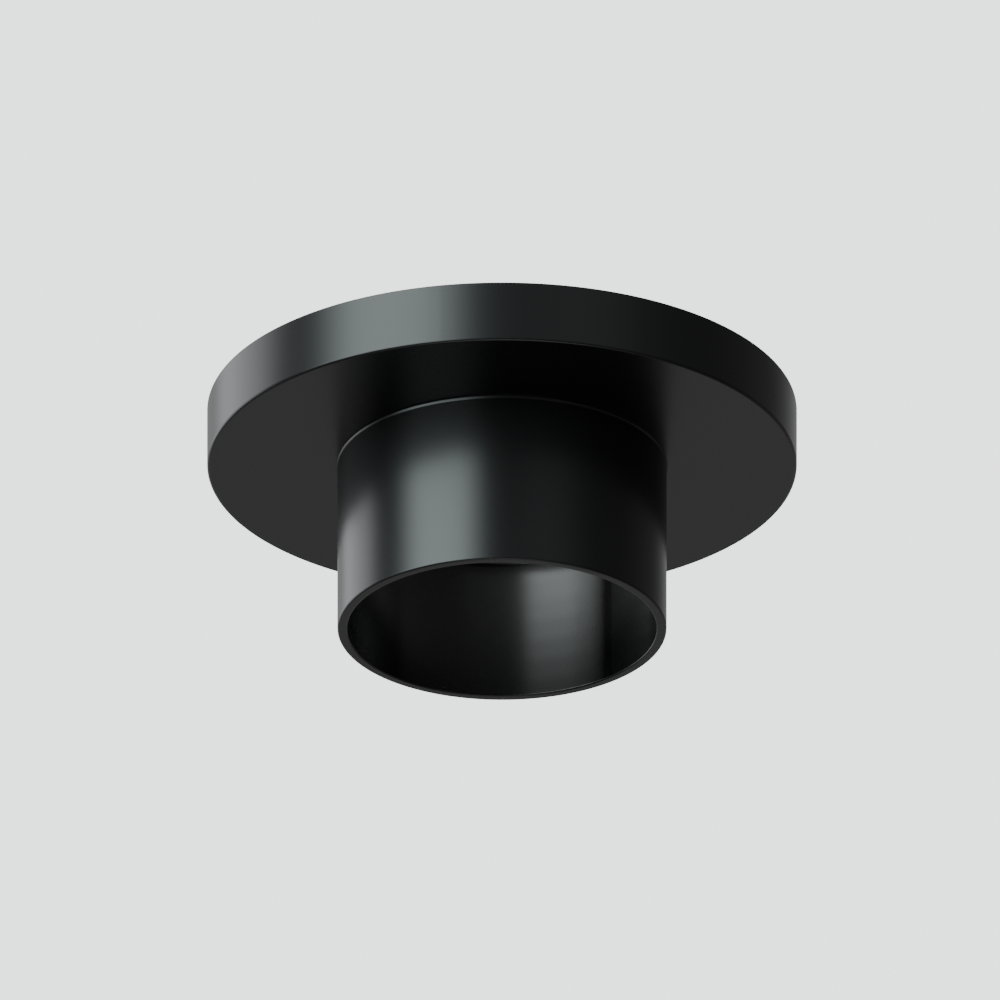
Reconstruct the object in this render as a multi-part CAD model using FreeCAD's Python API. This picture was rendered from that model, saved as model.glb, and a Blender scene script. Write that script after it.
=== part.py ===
"""Soffit downlight: a shallow round canopy with a short open barrel, as separate pieces in millimetres.

The origin is the centre of the face that meets the soffit, +Z points up into it, and the photographed
front is -Y. Everything hangs below the soffit, so heights are written as depths below z = 0. Threads are
plain cylinders at their major diameter.
"""
import math
import os

import FreeCAD
import Part

V = FreeCAD.Vector
UP = V(0, 0, 1)

# ---- driving dimensions: what the photograph shows ----
CANOPY_DIAMETER = 108.0
CANOPY_HEIGHT = 12.0
CANOPY_WALL = 3.0
CANOPY_FACE = 2.8
BARREL_DIAMETER = 60.3
BARREL_WALL = 1.9
BARREL_DROP = 33.0
FOOT_FLARE = 0.2
FOOT_HEIGHT = 0.45
EDGE_BREAK = 0.5
TOP_EDGE_BREAK = 0.25
RIM_BREAK = 0.35
RIM_GROOVE_LAND = 0.9
RIM_GROOVE_DEPTH = 1.5

# ---- mounting ring and bayonet ----
RING_SHEET = 1.5
RING_BORE = 59.0
FIXING_SPACING = 80.0
FIXING_SLOT_LENGTH = 8.0
FIXING_SLOT_WIDTH = 4.5
LUG_COUNT = 3
LUG_FIRST = 30.0
LUG_SPREAD = 24.0
LUG_REACH = 3.5
LUG_THICK = 2.0
LUG_DEPTH = 1.2
LUG_CLEARANCE = 0.7
TAB_OVERLAP = 1.0
STOP_EAR = 1.7
LOCK_ANGLE = 90.0
LOCK_FLANGE_SPREAD = 16.0
LOCK_SCREW_SIZE = 3.0
LOCK_SCREW_LENGTH = 4.1
LOCK_SCREW_SINK = 0.4
SOCKET_RADIUS = 0.85
SOCKET_DEPTH = 1.6

# ---- supply cable ----
CABLE_DIAMETER = 5.2
GROMMET_ANGLE = 232.0
GROMMET_WALL = 1.75
GROMMET_FLANGE = 1.2
GROMMET_LIP = 1.6
DIMPLE_ROOM = 0.3
CLAMP_ANGLE = 308.0
CLAMP_OUTSET = 1.5
CLAMP_STRAP = 1.2
CLAMP_WIDTH = 6.0
CLAMP_SCREW_ROOM = 2.4

# ---- light engine ----
ENGINE_THICK = 3.2
ENGINE_GASKET = 0.8
ENGINE_ANGLE = 50.0
EAR_RADIUS = 4.0
EAR_REACH = 2.7
BOSS_RADIUS = 3.2
ENGINE_SCREW_SIZE = 3.0
ENGINE_HEAD_RADIUS = 2.75
ENGINE_HEAD_HEIGHT = 1.95
COUNTERBORE_RADIUS = 2.9
COUNTERBORE_DEPTH = 2.0
POCKET_DEPTH = 1.0
POCKET_LAND = 0.8
THERMAL_PAD = 0.3
BOARD_THICK = 1.6
BOARD_SCREW_SIZE = 2.4
CELL_COUNT = 6
CHIP_SIZE = 3.45
CHIP_HEIGHT = 0.7
DOME_RADIUS = 1.3
DOME_STRAIGHT = 0.5
DOME_TOP_RADIUS = 0.6
NOSE_WALL = 4.8
NOSE_REACH = 0.35
OPTIC_FLANGE = 1.1
OPTIC_LEG_LAND = 3.75
OPTIC_LEG_RADIUS = 0.8
CELL_FOOT_RADIUS = 2.7
CELL_SPACING = 0.3
CELL_PIT_ROOM = 0.6
CELL_PIT_DEPTH = 2.6
GLAND_WALL = 1.2
GLAND_STEP = 0.7

# ---- glass and barrel ----
GLASS_THICK = 3.0
GLASS_GASKET = 1.0
SHOULDER = 3.15
SPIGOT_WALL = 1.8
THREAD_PITCH = 1.5
THREAD_TURNS = 4
COLLAR_WALL = 3.45
LIP_THICK = 1.5
LIP_REACH = 1.6
SEAL_WIDTH = 1.5
SEAL_DEPTH = 1.3
SEAL_LAND = 0.95
GLASS_EDGE_BREAK = 0.3

# ---- wiring lane: driver, terminals and leads ----
DRIVER_ANGLE = 110.0
DRIVER_LENGTH = 56.0
DRIVER_WIDTH = 11.0
DRIVER_HEIGHT = 6.8
DRIVER_WALL = 1.2
DRIVER_FOOT = 5.4
DRIVER_FOOT_WIDTH = 4.8
TERMINAL_ANGLE = 333.0
TERMINAL_LENGTH = 14.0
TERMINAL_PITCH = 5.0
TERMINAL_HEIGHT = 6.4
TERMINAL_LUG = 4.6
TERMINAL_LUG_WIDTH = 5.2
TERMINAL_WIRE_RISE = 3.8
TERMINAL_END_WALL = 2.5
CAGE_HALF_WIDTH = 1.7
CAGE_HEIGHT = 1.6
CAGE_BORE_RADIUS = 0.95
WIRE_FUNNEL_RADIUS = 1.1
CLAMPING_SCREW_INSET = 1.9
CLAMPING_HEAD_RADIUS = 1.35
LED_LEAD_DIAMETER = 1.2
SUPPLY_LEAD_DIAMETER = 1.4
SMALL_SCREW_SIZE = 2.5
SMALL_HEAD_RADIUS = 2.1
SMALL_HEAD_HEIGHT = 1.4
LEAD_SPACING = 0.6
BLIND_FLOOR = 0.9

# ---- clearances ----
SOFFIT_GAP = 0.3
RUNNING_FIT = 0.05
SLIDING_GAP = 0.15
SEAT_GAP = 0.2
SCREW_GAP = 0.15
PART_GAP = 0.4

# ---- radii and depths that follow ----
canopy_r = CANOPY_DIAMETER / 2
canopy_bore_r = canopy_r - CANOPY_WALL
floor_d = CANOPY_HEIGHT - CANOPY_FACE
barrel_r = BARREL_DIAMETER / 2
barrel_bore_r = barrel_r - BARREL_WALL
rim_d = CANOPY_HEIGHT + BARREL_DROP
thread_length = THREAD_PITCH * THREAD_TURNS
thread_top_d = CANOPY_HEIGHT - thread_length
spigot_r = barrel_r - SHOULDER
spigot_bore_r = spigot_r - SPIGOT_WALL
collar_bore_r = spigot_r + RUNNING_FIT
collar_r = collar_bore_r + COLLAR_WALL

lug_r = canopy_bore_r - LUG_REACH
lug_under_d = LUG_DEPTH + LUG_THICK
tab_top_d = lug_under_d + SLIDING_GAP
tab_under_d = tab_top_d + RING_SHEET
ring_r = lug_r - TAB_OVERLAP
tab_r = canopy_bore_r - LUG_CLEARANCE
rim_groove_in_r = canopy_bore_r + RIM_GROOVE_LAND
rim_groove_out_r = canopy_r - RIM_GROOVE_LAND
rim_groove_d = SOFFIT_GAP + RIM_GROOVE_DEPTH
lane_r = (collar_r + ring_r) / 2
lock_tip_r = canopy_r - LOCK_SCREW_SINK - LOCK_SCREW_LENGTH
lock_d = (lug_under_d + CANOPY_HEIGHT - CANOPY_FACE / 2) / 2
lug_angles = [LUG_FIRST + step * 360.0 / LUG_COUNT for step in range(LUG_COUNT)]

engine_under_d = thread_top_d - ENGINE_GASKET
engine_top_d = engine_under_d - ENGINE_THICK
engine_r = collar_r - SEAT_GAP
ear_centre_r = collar_r + EAR_REACH
pocket_d = engine_under_d - POCKET_DEPTH
board_top_d = pocket_d + THERMAL_PAD
board_under_d = board_top_d + BOARD_THICK
nose_r = spigot_bore_r - PART_GAP
nose_bore_r = nose_r - NOSE_WALL
pocket_r = nose_bore_r - POCKET_LAND
board_r = pocket_r - PART_GAP
optic_r = nose_bore_r - SEAT_GAP
board_screw_r = optic_r - OPTIC_LEG_LAND + CELL_SPACING / 2
cell_pitch = board_screw_r / 1.5
cell_r = (cell_pitch - CELL_SPACING) / 2
cell_foot_d = board_under_d + CHIP_HEIGHT + SEAT_GAP
nose_end_d = CANOPY_HEIGHT + NOSE_REACH
flange_under_d = nose_end_d - RUNNING_FIT
flange_top_d = flange_under_d - OPTIC_FLANGE
engine_angles = [ENGINE_ANGLE + step * 120.0 for step in range(3)]
cell_angles = [ENGINE_ANGLE + 30.0 + step * 360.0 / CELL_COUNT for step in range(CELL_COUNT)]
lead_hole_r = board_screw_r - PART_GAP
gland_r = LED_LEAD_DIAMETER + GLAND_WALL

gasket_top_d = nose_end_d + RUNNING_FIT
glass_top_d = gasket_top_d + GLASS_GASKET
lip_top_d = glass_top_d + GLASS_THICK
lip_under_d = lip_top_d + LIP_THICK
glass_r = spigot_bore_r - SEAT_GAP
lip_r = glass_r - LIP_REACH
seal_r = barrel_r - SEAL_LAND - SEAL_WIDTH

driver_half = math.degrees(DRIVER_LENGTH / 2 / lane_r)
driver_top_d = floor_d - DRIVER_HEIGHT
driver_in_r = lane_r - DRIVER_WIDTH / 2
driver_out_r = lane_r + DRIVER_WIDTH / 2
potting_half = driver_half - math.degrees(DRIVER_WALL / lane_r)
foot_half = driver_half + math.degrees(DRIVER_FOOT / lane_r)
foot_hole_half = driver_half + math.degrees((DRIVER_FOOT - SMALL_HEAD_HEIGHT) / lane_r)
foot_top_d = floor_d - DRIVER_WALL
foot_hole_r = driver_out_r - DRIVER_FOOT_WIDTH / 2

grommet_hole_r = CABLE_DIAMETER / 2 + GROMMET_WALL
grommet_flange_r = grommet_hole_r + GROMMET_LIP
clamp_r = lane_r + CLAMP_OUTSET
cable_r = CABLE_DIAMETER / 2
clamp_arch_r = cable_r + RUNNING_FIT + CLAMP_STRAP
clamp_screw_x = clamp_arch_r + CLAMP_SCREW_ROOM
terminal_width = 2 * TERMINAL_PITCH
terminal_top_d = floor_d - TERMINAL_HEIGHT
wire_d = floor_d - TERMINAL_WIRE_RISE
cage_half = TERMINAL_LENGTH / 2 - TERMINAL_END_WALL
cage_top_d = wire_d - CAGE_HEIGHT
clamping_screw_y = cage_half - CLAMPING_SCREW_INSET
led_lead_r = LED_LEAD_DIAMETER / 2
led_lead_d = driver_top_d + led_lead_r + 0.3
led_lead_aside = led_lead_r + LEAD_SPACING / 2
supply_lead_r = SUPPLY_LEAD_DIAMETER / 2
small_hole_r = SMALL_SCREW_SIZE / 2 + SCREW_GAP
small_tap_r = SMALL_SCREW_SIZE / 2 + RUNNING_FIT


# ---- building helpers ----
def rod(radius, top, bottom, x=0.0, y=0.0):
    """A vertical cylinder between two depths."""
    return Part.makeCylinder(radius, bottom - top, V(x, y, -bottom))


def block(x0, x1, y0, y1, top, bottom):
    """A box between two depths."""
    return Part.makeBox(x1 - x0, y1 - y0, bottom - top, V(x0, y0, -bottom))


def turned(outline, start=0.0, sweep=360.0):
    """Turn a closed outline of (radius, depth) corners about the fitting's axis."""
    corners = [V(radius, 0, -depth) for radius, depth in outline]
    face = Part.Face(Part.makePolygon(corners + corners[:1]))
    solid = face.revolve(V(0, 0, 0), UP, sweep)
    solid.rotate(V(0, 0, 0), UP, start)
    return solid


def washer(inner, outer, top, bottom, start=0.0, sweep=360.0):
    """A flat ring, or a sector of one, between two depths."""
    outline = [(inner, top), (outer, top), (outer, bottom), (inner, bottom)]
    return turned(outline, start, sweep)


def turn_to(shape, angle):
    """A copy of the shape turned about the fitting's axis."""
    placed = shape.copy()
    placed.rotate(V(0, 0, 0), UP, angle)
    return placed


def polar(shape, radius, angle):
    """A copy of the shape moved out to a radius along X, then turned to an angle."""
    placed = shape.copy()
    placed.translate(V(radius, 0, 0))
    placed.rotate(V(0, 0, 0), UP, angle)
    return placed


def fused(first, others):
    """One solid of all the shapes, with its seams removed."""
    return first.fuse(others).removeSplitter()


def pan_screw(size, head_radius, head_height, head_top, tip):
    """A pan-head screw on the axis, its head up, with a hexagon recess."""
    head = rod(head_radius, head_top, head_top + head_height)
    shank = rod(size / 2, head_top + head_height, tip)
    recess = hexagon(0.55 * head_radius, head_top, head_top + 0.6 * head_height)
    return fused(head, [shank]).cut(recess)


def hexagon(radius, top, bottom):
    """A vertical hexagonal prism with its corners at the radius."""
    corners = []
    for side in range(7):
        angle = math.radians(60 * side)
        corners.append(V(radius * math.cos(angle), radius * math.sin(angle), -bottom))
    return Part.Face(Part.makePolygon(corners)).extrude(V(0, 0, bottom - top))


def spot(radius, angle, depth, aside=0.0):
    """The point at a radius, angle and depth, moved aside along the tangent."""
    turn = math.radians(angle)
    x = radius * math.cos(turn) - aside * math.sin(turn)
    y = radius * math.sin(turn) + aside * math.cos(turn)
    return V(x, y, -depth)


def lead(name, points, radius):
    """A round lead on straight runs joined by tangent arcs, each as large as its shorter run allows."""
    edges = []
    start = points[0]
    for before, corner, after in zip(points, points[1:], points[2:]):
        back = before - corner
        onward = after - corner
        reach = 0.45 * min(back.Length, onward.Length)
        half_turn = (math.pi - back.getAngle(onward)) / 2
        bend = reach / math.tan(half_turn)
        back.normalize()
        onward.normalize()
        inward = back + onward
        inward.normalize()
        first = corner + back * reach
        last = corner + onward * reach
        middle = corner + inward * (bend / math.cos(half_turn) - bend)
        edges.append(Part.makeLine(start, first))
        edges.append(Part.Arc(first, middle, last).toShape())
        start = last
        print(f"{name} bend radius {bend:.1f} mm")
    edges.append(Part.makeLine(start, points[-1]))
    path = Part.Wire(edges)
    section = Part.Wire([Part.makeCircle(radius, points[0], points[1] - points[0])])
    solid = path.makePipeShell([section], True, False)
    fill = solid.Volume / (math.pi * radius ** 2 * path.Length)
    print(f"{name} length {path.Length:.1f} mm, volume over section times length {fill:.4f}")
    return solid


# ---- fixed to the soffit ----
def mounting_ring():
    """Pressed steel ring: screw slots, cable hole in a dimple, three bayonet tabs and a lock flange."""
    web_r = ring_r - RING_SHEET
    plate = washer(RING_BORE / 2, ring_r, 0, RING_SHEET)
    tab = [(web_r, 0), (ring_r, 0), (ring_r, tab_top_d), (tab_r, tab_top_d)]
    tab += [(tab_r, tab_under_d), (web_r, tab_under_d)]
    half = LUG_SPREAD / 2
    added = []
    ear_in_r = lug_r - SEAT_GAP
    for angle in lug_angles:
        stop = angle + half
        added.append(turned(tab, angle - half - 1, LUG_SPREAD + 2 + STOP_EAR))
        added.append(washer(ear_in_r, tab_r, LUG_DEPTH, tab_under_d, stop + 0.3, STOP_EAR + 0.7))
    flange_r = lock_tip_r - SEAT_GAP
    flange_end = floor_d - PART_GAP
    flange = [(web_r, 0), (flange_r, 0), (flange_r, flange_end), (flange_r - RING_SHEET, flange_end)]
    flange += [(flange_r - RING_SHEET, RING_SHEET), (web_r, RING_SHEET)]
    added.append(turned(flange, LOCK_ANGLE - LOCK_FLANGE_SPREAD / 2, LOCK_FLANGE_SPREAD))
    dimple_r = grommet_flange_r + DIMPLE_ROOM
    dimple_d = GROMMET_FLANGE + 0.1
    below = dimple_d + RING_SHEET
    added.append(polar(rod(dimple_r + RING_SHEET, 0, below), lane_r, GROMMET_ANGLE))
    ring = fused(plate, added)
    cuts = [polar(rod(dimple_r, -1, dimple_d), lane_r, GROMMET_ANGLE)]
    cuts.append(polar(rod(grommet_hole_r, -1, below + 1), lane_r, GROMMET_ANGLE))
    slot_r = FIXING_SLOT_WIDTH / 2
    half_slot = FIXING_SLOT_LENGTH / 2 - slot_r
    slot = block(-half_slot, half_slot, -slot_r, slot_r, -1, RING_SHEET + 1)
    for end in (-half_slot, half_slot):
        slot = slot.fuse(rod(slot_r, -1, RING_SHEET + 1, x=end))
    for angle in (0, 180):
        cuts.append(polar(slot.removeSplitter(), FIXING_SPACING / 2, angle))
    return ring.cut(cuts)


def cable_grommet():
    """Rubber grommet in the dimple, flush with the soffit face."""
    neck_top = GROMMET_FLANGE + 0.1
    neck_end = neck_top + RING_SHEET
    neck_r = grommet_hole_r - RUNNING_FIT
    bottom = neck_end + GROMMET_FLANGE
    bore = cable_r + 0.1
    outline = [(bore, 0.1), (grommet_flange_r, 0.1), (grommet_flange_r, neck_top), (neck_r, neck_top)]
    outline += [(neck_r, neck_end), (grommet_flange_r, neck_end)]
    outline += [(grommet_flange_r - 0.5, bottom), (bore, bottom)]
    return polar(turned(outline), lane_r, GROMMET_ANGLE)


# ---- canopy ----
def canopy():
    """Cast cup with a threaded collar, bayonet lugs, seal groove and bosses for the engine."""
    outline = [(collar_bore_r, thread_top_d), (collar_r, thread_top_d), (collar_r, floor_d)]
    outline += [(canopy_bore_r, floor_d), (canopy_bore_r, SOFFIT_GAP), (rim_groove_in_r, SOFFIT_GAP)]
    outline += [(rim_groove_in_r, rim_groove_d), (rim_groove_out_r, rim_groove_d)]
    outline += [(rim_groove_out_r, SOFFIT_GAP), (canopy_r - TOP_EDGE_BREAK, SOFFIT_GAP)]
    outline += [(canopy_r, SOFFIT_GAP + TOP_EDGE_BREAK), (canopy_r, CANOPY_HEIGHT - EDGE_BREAK)]
    outline += [(canopy_r - EDGE_BREAK, CANOPY_HEIGHT), (collar_bore_r, CANOPY_HEIGHT)]
    root = 0.5
    added = []
    for angle in lug_angles:
        start = angle - LUG_SPREAD / 2
        added.append(washer(lug_r, canopy_bore_r + root, LUG_DEPTH, lug_under_d, start, LUG_SPREAD))
    for angle in engine_angles:
        added.append(polar(rod(BOSS_RADIUS, engine_under_d, floor_d + root), ear_centre_r, angle))
    cup = fused(turned(outline), added)
    hole = rod(small_tap_r, floor_d - 1, CANOPY_HEIGHT - BLIND_FLOOR / 2)
    cuts = [polar(hole, foot_hole_r, DRIVER_ANGLE + side * foot_hole_half) for side in (-1, 1)]
    cuts += [polar(hole, clamp_r + side * clamp_screw_x, CLAMP_ANGLE) for side in (-1, 1)]
    cuts.append(polar(hole, lane_r + terminal_width / 2 + TERMINAL_LUG / 2, TERMINAL_ANGLE))
    tap = rod(ENGINE_SCREW_SIZE / 2 + RUNNING_FIT, engine_under_d - 1, CANOPY_HEIGHT - BLIND_FLOOR)
    cuts += [polar(tap, ear_centre_r, angle) for angle in engine_angles]
    lock_hole_r = LOCK_SCREW_SIZE / 2 + RUNNING_FIT
    start = V(canopy_bore_r - 1, 0, -lock_d)
    lock_hole = Part.makeCylinder(lock_hole_r, CANOPY_WALL + 2, start, V(1, 0, 0))
    cuts.append(turn_to(lock_hole, LOCK_ANGLE))
    return cup.cut(cuts)


def ceiling_seal():
    """Foam cord in the canopy's rim, which closes the joint with the soffit."""
    return washer(rim_groove_in_r, rim_groove_out_r, 0, rim_groove_d)


def lock_screw():
    """Radial grub screw at the back, its tip just clear of the ring's lock flange."""
    start = V(lock_tip_r, 0, -lock_d)
    screw = Part.makeCylinder(LOCK_SCREW_SIZE / 2, LOCK_SCREW_LENGTH, start, V(1, 0, 0))
    socket = hexagon(SOCKET_RADIUS, 0, SOCKET_DEPTH)
    socket.rotate(V(0, 0, 0), V(0, 1, 0), 90)
    socket.translate(V(lock_tip_r + LOCK_SCREW_LENGTH + 0.01, 0, -lock_d))
    return turn_to(screw.cut(socket), LOCK_ANGLE)


# ---- light engine ----
def engine_body():
    """Aluminium heat plate on the collar, with a board pocket, a nose ring and three screwed ears."""
    plate = rod(engine_r, engine_top_d, engine_under_d)
    added = [washer(nose_bore_r, nose_r, engine_under_d - 0.5, nose_end_d)]
    ear = rod(EAR_RADIUS, engine_top_d, engine_under_d, x=ear_centre_r)
    root_x = engine_r - EAR_RADIUS
    bridge = block(root_x, ear_centre_r, -EAR_RADIUS, EAR_RADIUS, engine_top_d, engine_under_d)
    added += [turn_to(shape, angle) for angle in engine_angles for shape in (ear, bridge)]
    body = fused(plate, added)
    screw_hole = rod(ENGINE_SCREW_SIZE / 2 + SEAT_GAP, 0, floor_d, x=ear_centre_r)
    counterbore = rod(COUNTERBORE_RADIUS, 0, engine_top_d + COUNTERBORE_DEPTH, x=ear_centre_r)
    tap_r = BOARD_SCREW_SIZE / 2 + RUNNING_FIT
    tap = rod(tap_r, pocket_d - THERMAL_PAD - SMALL_HEAD_HEIGHT, pocket_d + 1, x=board_screw_r)
    cuts = [rod(pocket_r, pocket_d, engine_under_d + 1)]
    cuts += [turn_to(hole, angle) for angle in engine_angles for hole in (screw_hole, counterbore, tap)]
    cuts.append(polar(rod(gland_r + GLAND_STEP, 0, pocket_d - GLAND_STEP), lead_hole_r, DRIVER_ANGLE))
    cuts.append(polar(rod(gland_r, 0, floor_d), lead_hole_r, DRIVER_ANGLE))
    half = gland_r - PART_GAP
    channel_d = led_lead_d + led_lead_r + SEAT_GAP
    channel = block(pocket_r + LED_LEAD_DIAMETER, engine_r + 1, -half, half, 0, channel_d)
    cuts.append(turn_to(channel, DRIVER_ANGLE))
    return body.cut(cuts)


def engine_screws():
    """Three screws that hold the engine to the canopy's bosses, sunk in its ears."""
    top = engine_top_d + RUNNING_FIT
    tip = CANOPY_HEIGHT - BLIND_FLOOR - SEAT_GAP
    screw = pan_screw(ENGINE_SCREW_SIZE, ENGINE_HEAD_RADIUS, ENGINE_HEAD_HEIGHT, top, tip)
    return [polar(screw, ear_centre_r, angle) for angle in engine_angles]


def engine_gasket():
    """Flat silicone ring between the engine and the collar."""
    return washer(collar_bore_r + 0.6, ear_centre_r - BOSS_RADIUS - 0.1, engine_under_d, thread_top_d)


def board_disc(top, bottom):
    """A disc of the board's outline with its screw holes and the lead hole."""
    disc = rod(board_r, top, bottom)
    screw_hole = rod(BOARD_SCREW_SIZE / 2 + SCREW_GAP, 0, floor_d)
    cuts = [polar(screw_hole, board_screw_r, angle) for angle in engine_angles]
    cuts.append(polar(rod(gland_r, 0, floor_d), lead_hole_r, DRIVER_ANGLE))
    return disc.cut(cuts)


def thermal_pad():
    """Soft pad between the board and the engine."""
    return board_disc(pocket_d, board_top_d)


def led_board():
    """Round metal-core board."""
    return board_disc(board_top_d, board_under_d)


def led_chips():
    """Seven light-emitting packages, one under each cell of the optic."""
    half = CHIP_SIZE / 2
    base_d = board_under_d + CHIP_HEIGHT
    root_d = base_d - RUNNING_FIT
    crown_d = base_d + DOME_RADIUS
    dome = [(0, root_d), (DOME_RADIUS, root_d), (DOME_RADIUS, base_d + DOME_STRAIGHT)]
    dome += [(DOME_TOP_RADIUS, crown_d), (0, crown_d)]
    package = fused(block(-half, half, -half, half, board_under_d, base_d), [turned(dome)])
    return [package] + [polar(package, cell_pitch, angle) for angle in cell_angles]


def board_screws():
    """Three screws that hold the board in its pocket, heads down."""
    head = rod(SMALL_HEAD_RADIUS, board_under_d, board_under_d + SMALL_HEAD_HEIGHT)
    shank = rod(BOARD_SCREW_SIZE / 2, pocket_d - 1.4, board_under_d)
    recess_r = 0.55 * SMALL_HEAD_RADIUS
    recess = hexagon(recess_r, board_under_d + 0.5, board_under_d + SMALL_HEAD_HEIGHT + 0.1)
    screw = fused(head, [shank]).cut(recess)
    return [polar(screw, board_screw_r, angle) for angle in engine_angles]


def collimator_cell():
    """One collimator: an internally reflecting bowl that widens along an arc from its foot to its brim."""
    top = cell_foot_d
    end = flange_top_d + PART_GAP
    foot = V(CELL_FOOT_RADIUS, 0, -top)
    brim = V(cell_r, 0, -end)
    widening = cell_r - CELL_FOOT_RADIUS
    belly = V(CELL_FOOT_RADIUS + 0.66 * widening, 0, -(top + end) / 2)
    edges = [Part.makeLine(V(0, 0, -top), foot), Part.Arc(foot, belly, brim).toShape()]
    edges.append(Part.makeLine(brim, V(0, 0, -end)))
    edges.append(Part.makeLine(V(0, 0, -end), V(0, 0, -top)))
    return Part.Face(Part.Wire(edges)).revolve(V(0, 0, 0), UP, 360)


def collimator_pit():
    """The pit over the light source, on one cell's axis, with a coned roof."""
    pit_r = DOME_RADIUS + CELL_PIT_ROOM
    mouth_d = cell_foot_d - 1
    roof_d = cell_foot_d + CELL_PIT_DEPTH
    return turned([(0, mouth_d), (pit_r, mouth_d), (pit_r, roof_d - pit_r / 2), (0, roof_d)])


def optic():
    """Moulded seven-cell lens: bowls on a flange, with three legs that stand on the board."""
    cell = collimator_cell()
    pit = collimator_pit()
    places = [(0.0, 0.0)] + [(cell_pitch, angle) for angle in cell_angles]
    added = [polar(cell, radius, angle) for radius, angle in places]
    leg = rod(OPTIC_LEG_RADIUS, board_under_d, flange_top_d + PART_GAP)
    leg_r = cell_pitch + cell_r + PART_GAP + OPTIC_LEG_RADIUS
    added += [polar(leg, leg_r, angle) for angle in cell_angles[::2]]
    lens = rod(optic_r, flange_top_d, flange_under_d).fuse(added)
    return lens.cut([polar(pit, radius, angle) for radius, angle in places])


def lead_gland():
    """Silicone plug that seals the two leads where they pass the heat plate and the board."""
    plug = rod(gland_r - RUNNING_FIT, pocket_d - GLAND_STEP, board_under_d)
    holes = [rod(led_lead_r + 0.02, 0, floor_d, y=side * led_lead_aside) for side in (-1, 1)]
    return polar(plug.cut(holes), lead_hole_r, DRIVER_ANGLE)


def led_lead(name, side):
    """Lead from the board up through the gland, over the plate's edge and into the driver."""
    aside = side * led_lead_aside
    over_d = engine_top_d - led_lead_r - 0.3
    stops = [(lead_hole_r, board_under_d + 0.2), (lead_hole_r, over_d), (lead_hole_r + 5.0, over_d)]
    stops += [(engine_r - 1.3, led_lead_d), (driver_in_r + DRIVER_WALL - RUNNING_FIT, led_lead_d)]
    points = [spot(radius, DRIVER_ANGLE, depth, aside) for radius, depth in stops]
    return lead(name, points, led_lead_r)


# ---- driver ----
def driver_sector(inner, outer, top, bottom, half):
    """A sector centred on the driver's angle."""
    return washer(inner, outer, top, bottom, DRIVER_ANGLE - half, 2 * half)


def driver_case():
    """Curved tray round the engine, with a screwed foot at each end and holes for four leads."""
    tray = driver_sector(driver_in_r, driver_out_r, driver_top_d, floor_d, driver_half)
    feet = driver_sector(driver_out_r - DRIVER_FOOT_WIDTH, driver_out_r, foot_top_d, floor_d, foot_half)
    tray = fused(tray, [feet])
    cuts = [potting_space(driver_top_d - 1)]
    reach = 4.0
    screw_hole = rod(small_hole_r, 0, floor_d + 1)
    for side in (-1, 1):
        cuts.append(polar(screw_hole, foot_hole_r, DRIVER_ANGLE + side * foot_hole_half))
        start = V(driver_in_r - reach / 2, side * led_lead_aside, -led_lead_d)
        inner_hole = Part.makeCylinder(led_lead_r + RUNNING_FIT, reach, start, V(1, 0, 0))
        cuts.append(turn_to(inner_hole, DRIVER_ANGLE))
        start = V(supply_lane_r(side), -reach, -wire_d)
        end_hole = Part.makeCylinder(supply_lead_r + RUNNING_FIT, reach, start, V(0, 1, 0))
        cuts.append(turn_to(end_hole, DRIVER_ANGLE - potting_half))
    return tray.cut(cuts)


def potting_space(top):
    """The tray's inner space up to a depth."""
    inner, outer = driver_in_r + DRIVER_WALL, driver_out_r - DRIVER_WALL
    return driver_sector(inner, outer, top, foot_top_d, potting_half)


def driver_potting():
    """Resin that fills the tray round the electronics."""
    return potting_space(driver_top_d + SEAT_GAP)


def small_screw(seat):
    """A small screw whose head sits on a seat depth and whose tip ends in the canopy's face."""
    top = seat - SMALL_HEAD_HEIGHT
    tip = CANOPY_HEIGHT - BLIND_FLOOR
    return pan_screw(SMALL_SCREW_SIZE, SMALL_HEAD_RADIUS, SMALL_HEAD_HEIGHT, top, tip)


def driver_screws():
    """Two screws through the driver's feet."""
    screw = small_screw(foot_top_d)
    return [polar(screw, foot_hole_r, DRIVER_ANGLE + side * foot_hole_half) for side in (-1, 1)]


# ---- terminals, clamp and supply leads ----
def supply_lane_r(side):
    """Radius at which each supply lead runs round the canopy."""
    return lane_r + 0.9 + side * (supply_lead_r + LEAD_SPACING / 2)


def at_terminal(shape):
    """Place a shape made about the terminal's own middle, X outward, Y along the wires."""
    return polar(shape, lane_r, TERMINAL_ANGLE)


def terminal_poles():
    """Sideways places of the two poles."""
    return [side * TERMINAL_PITCH / 2 for side in (-1, 1)]


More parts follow.
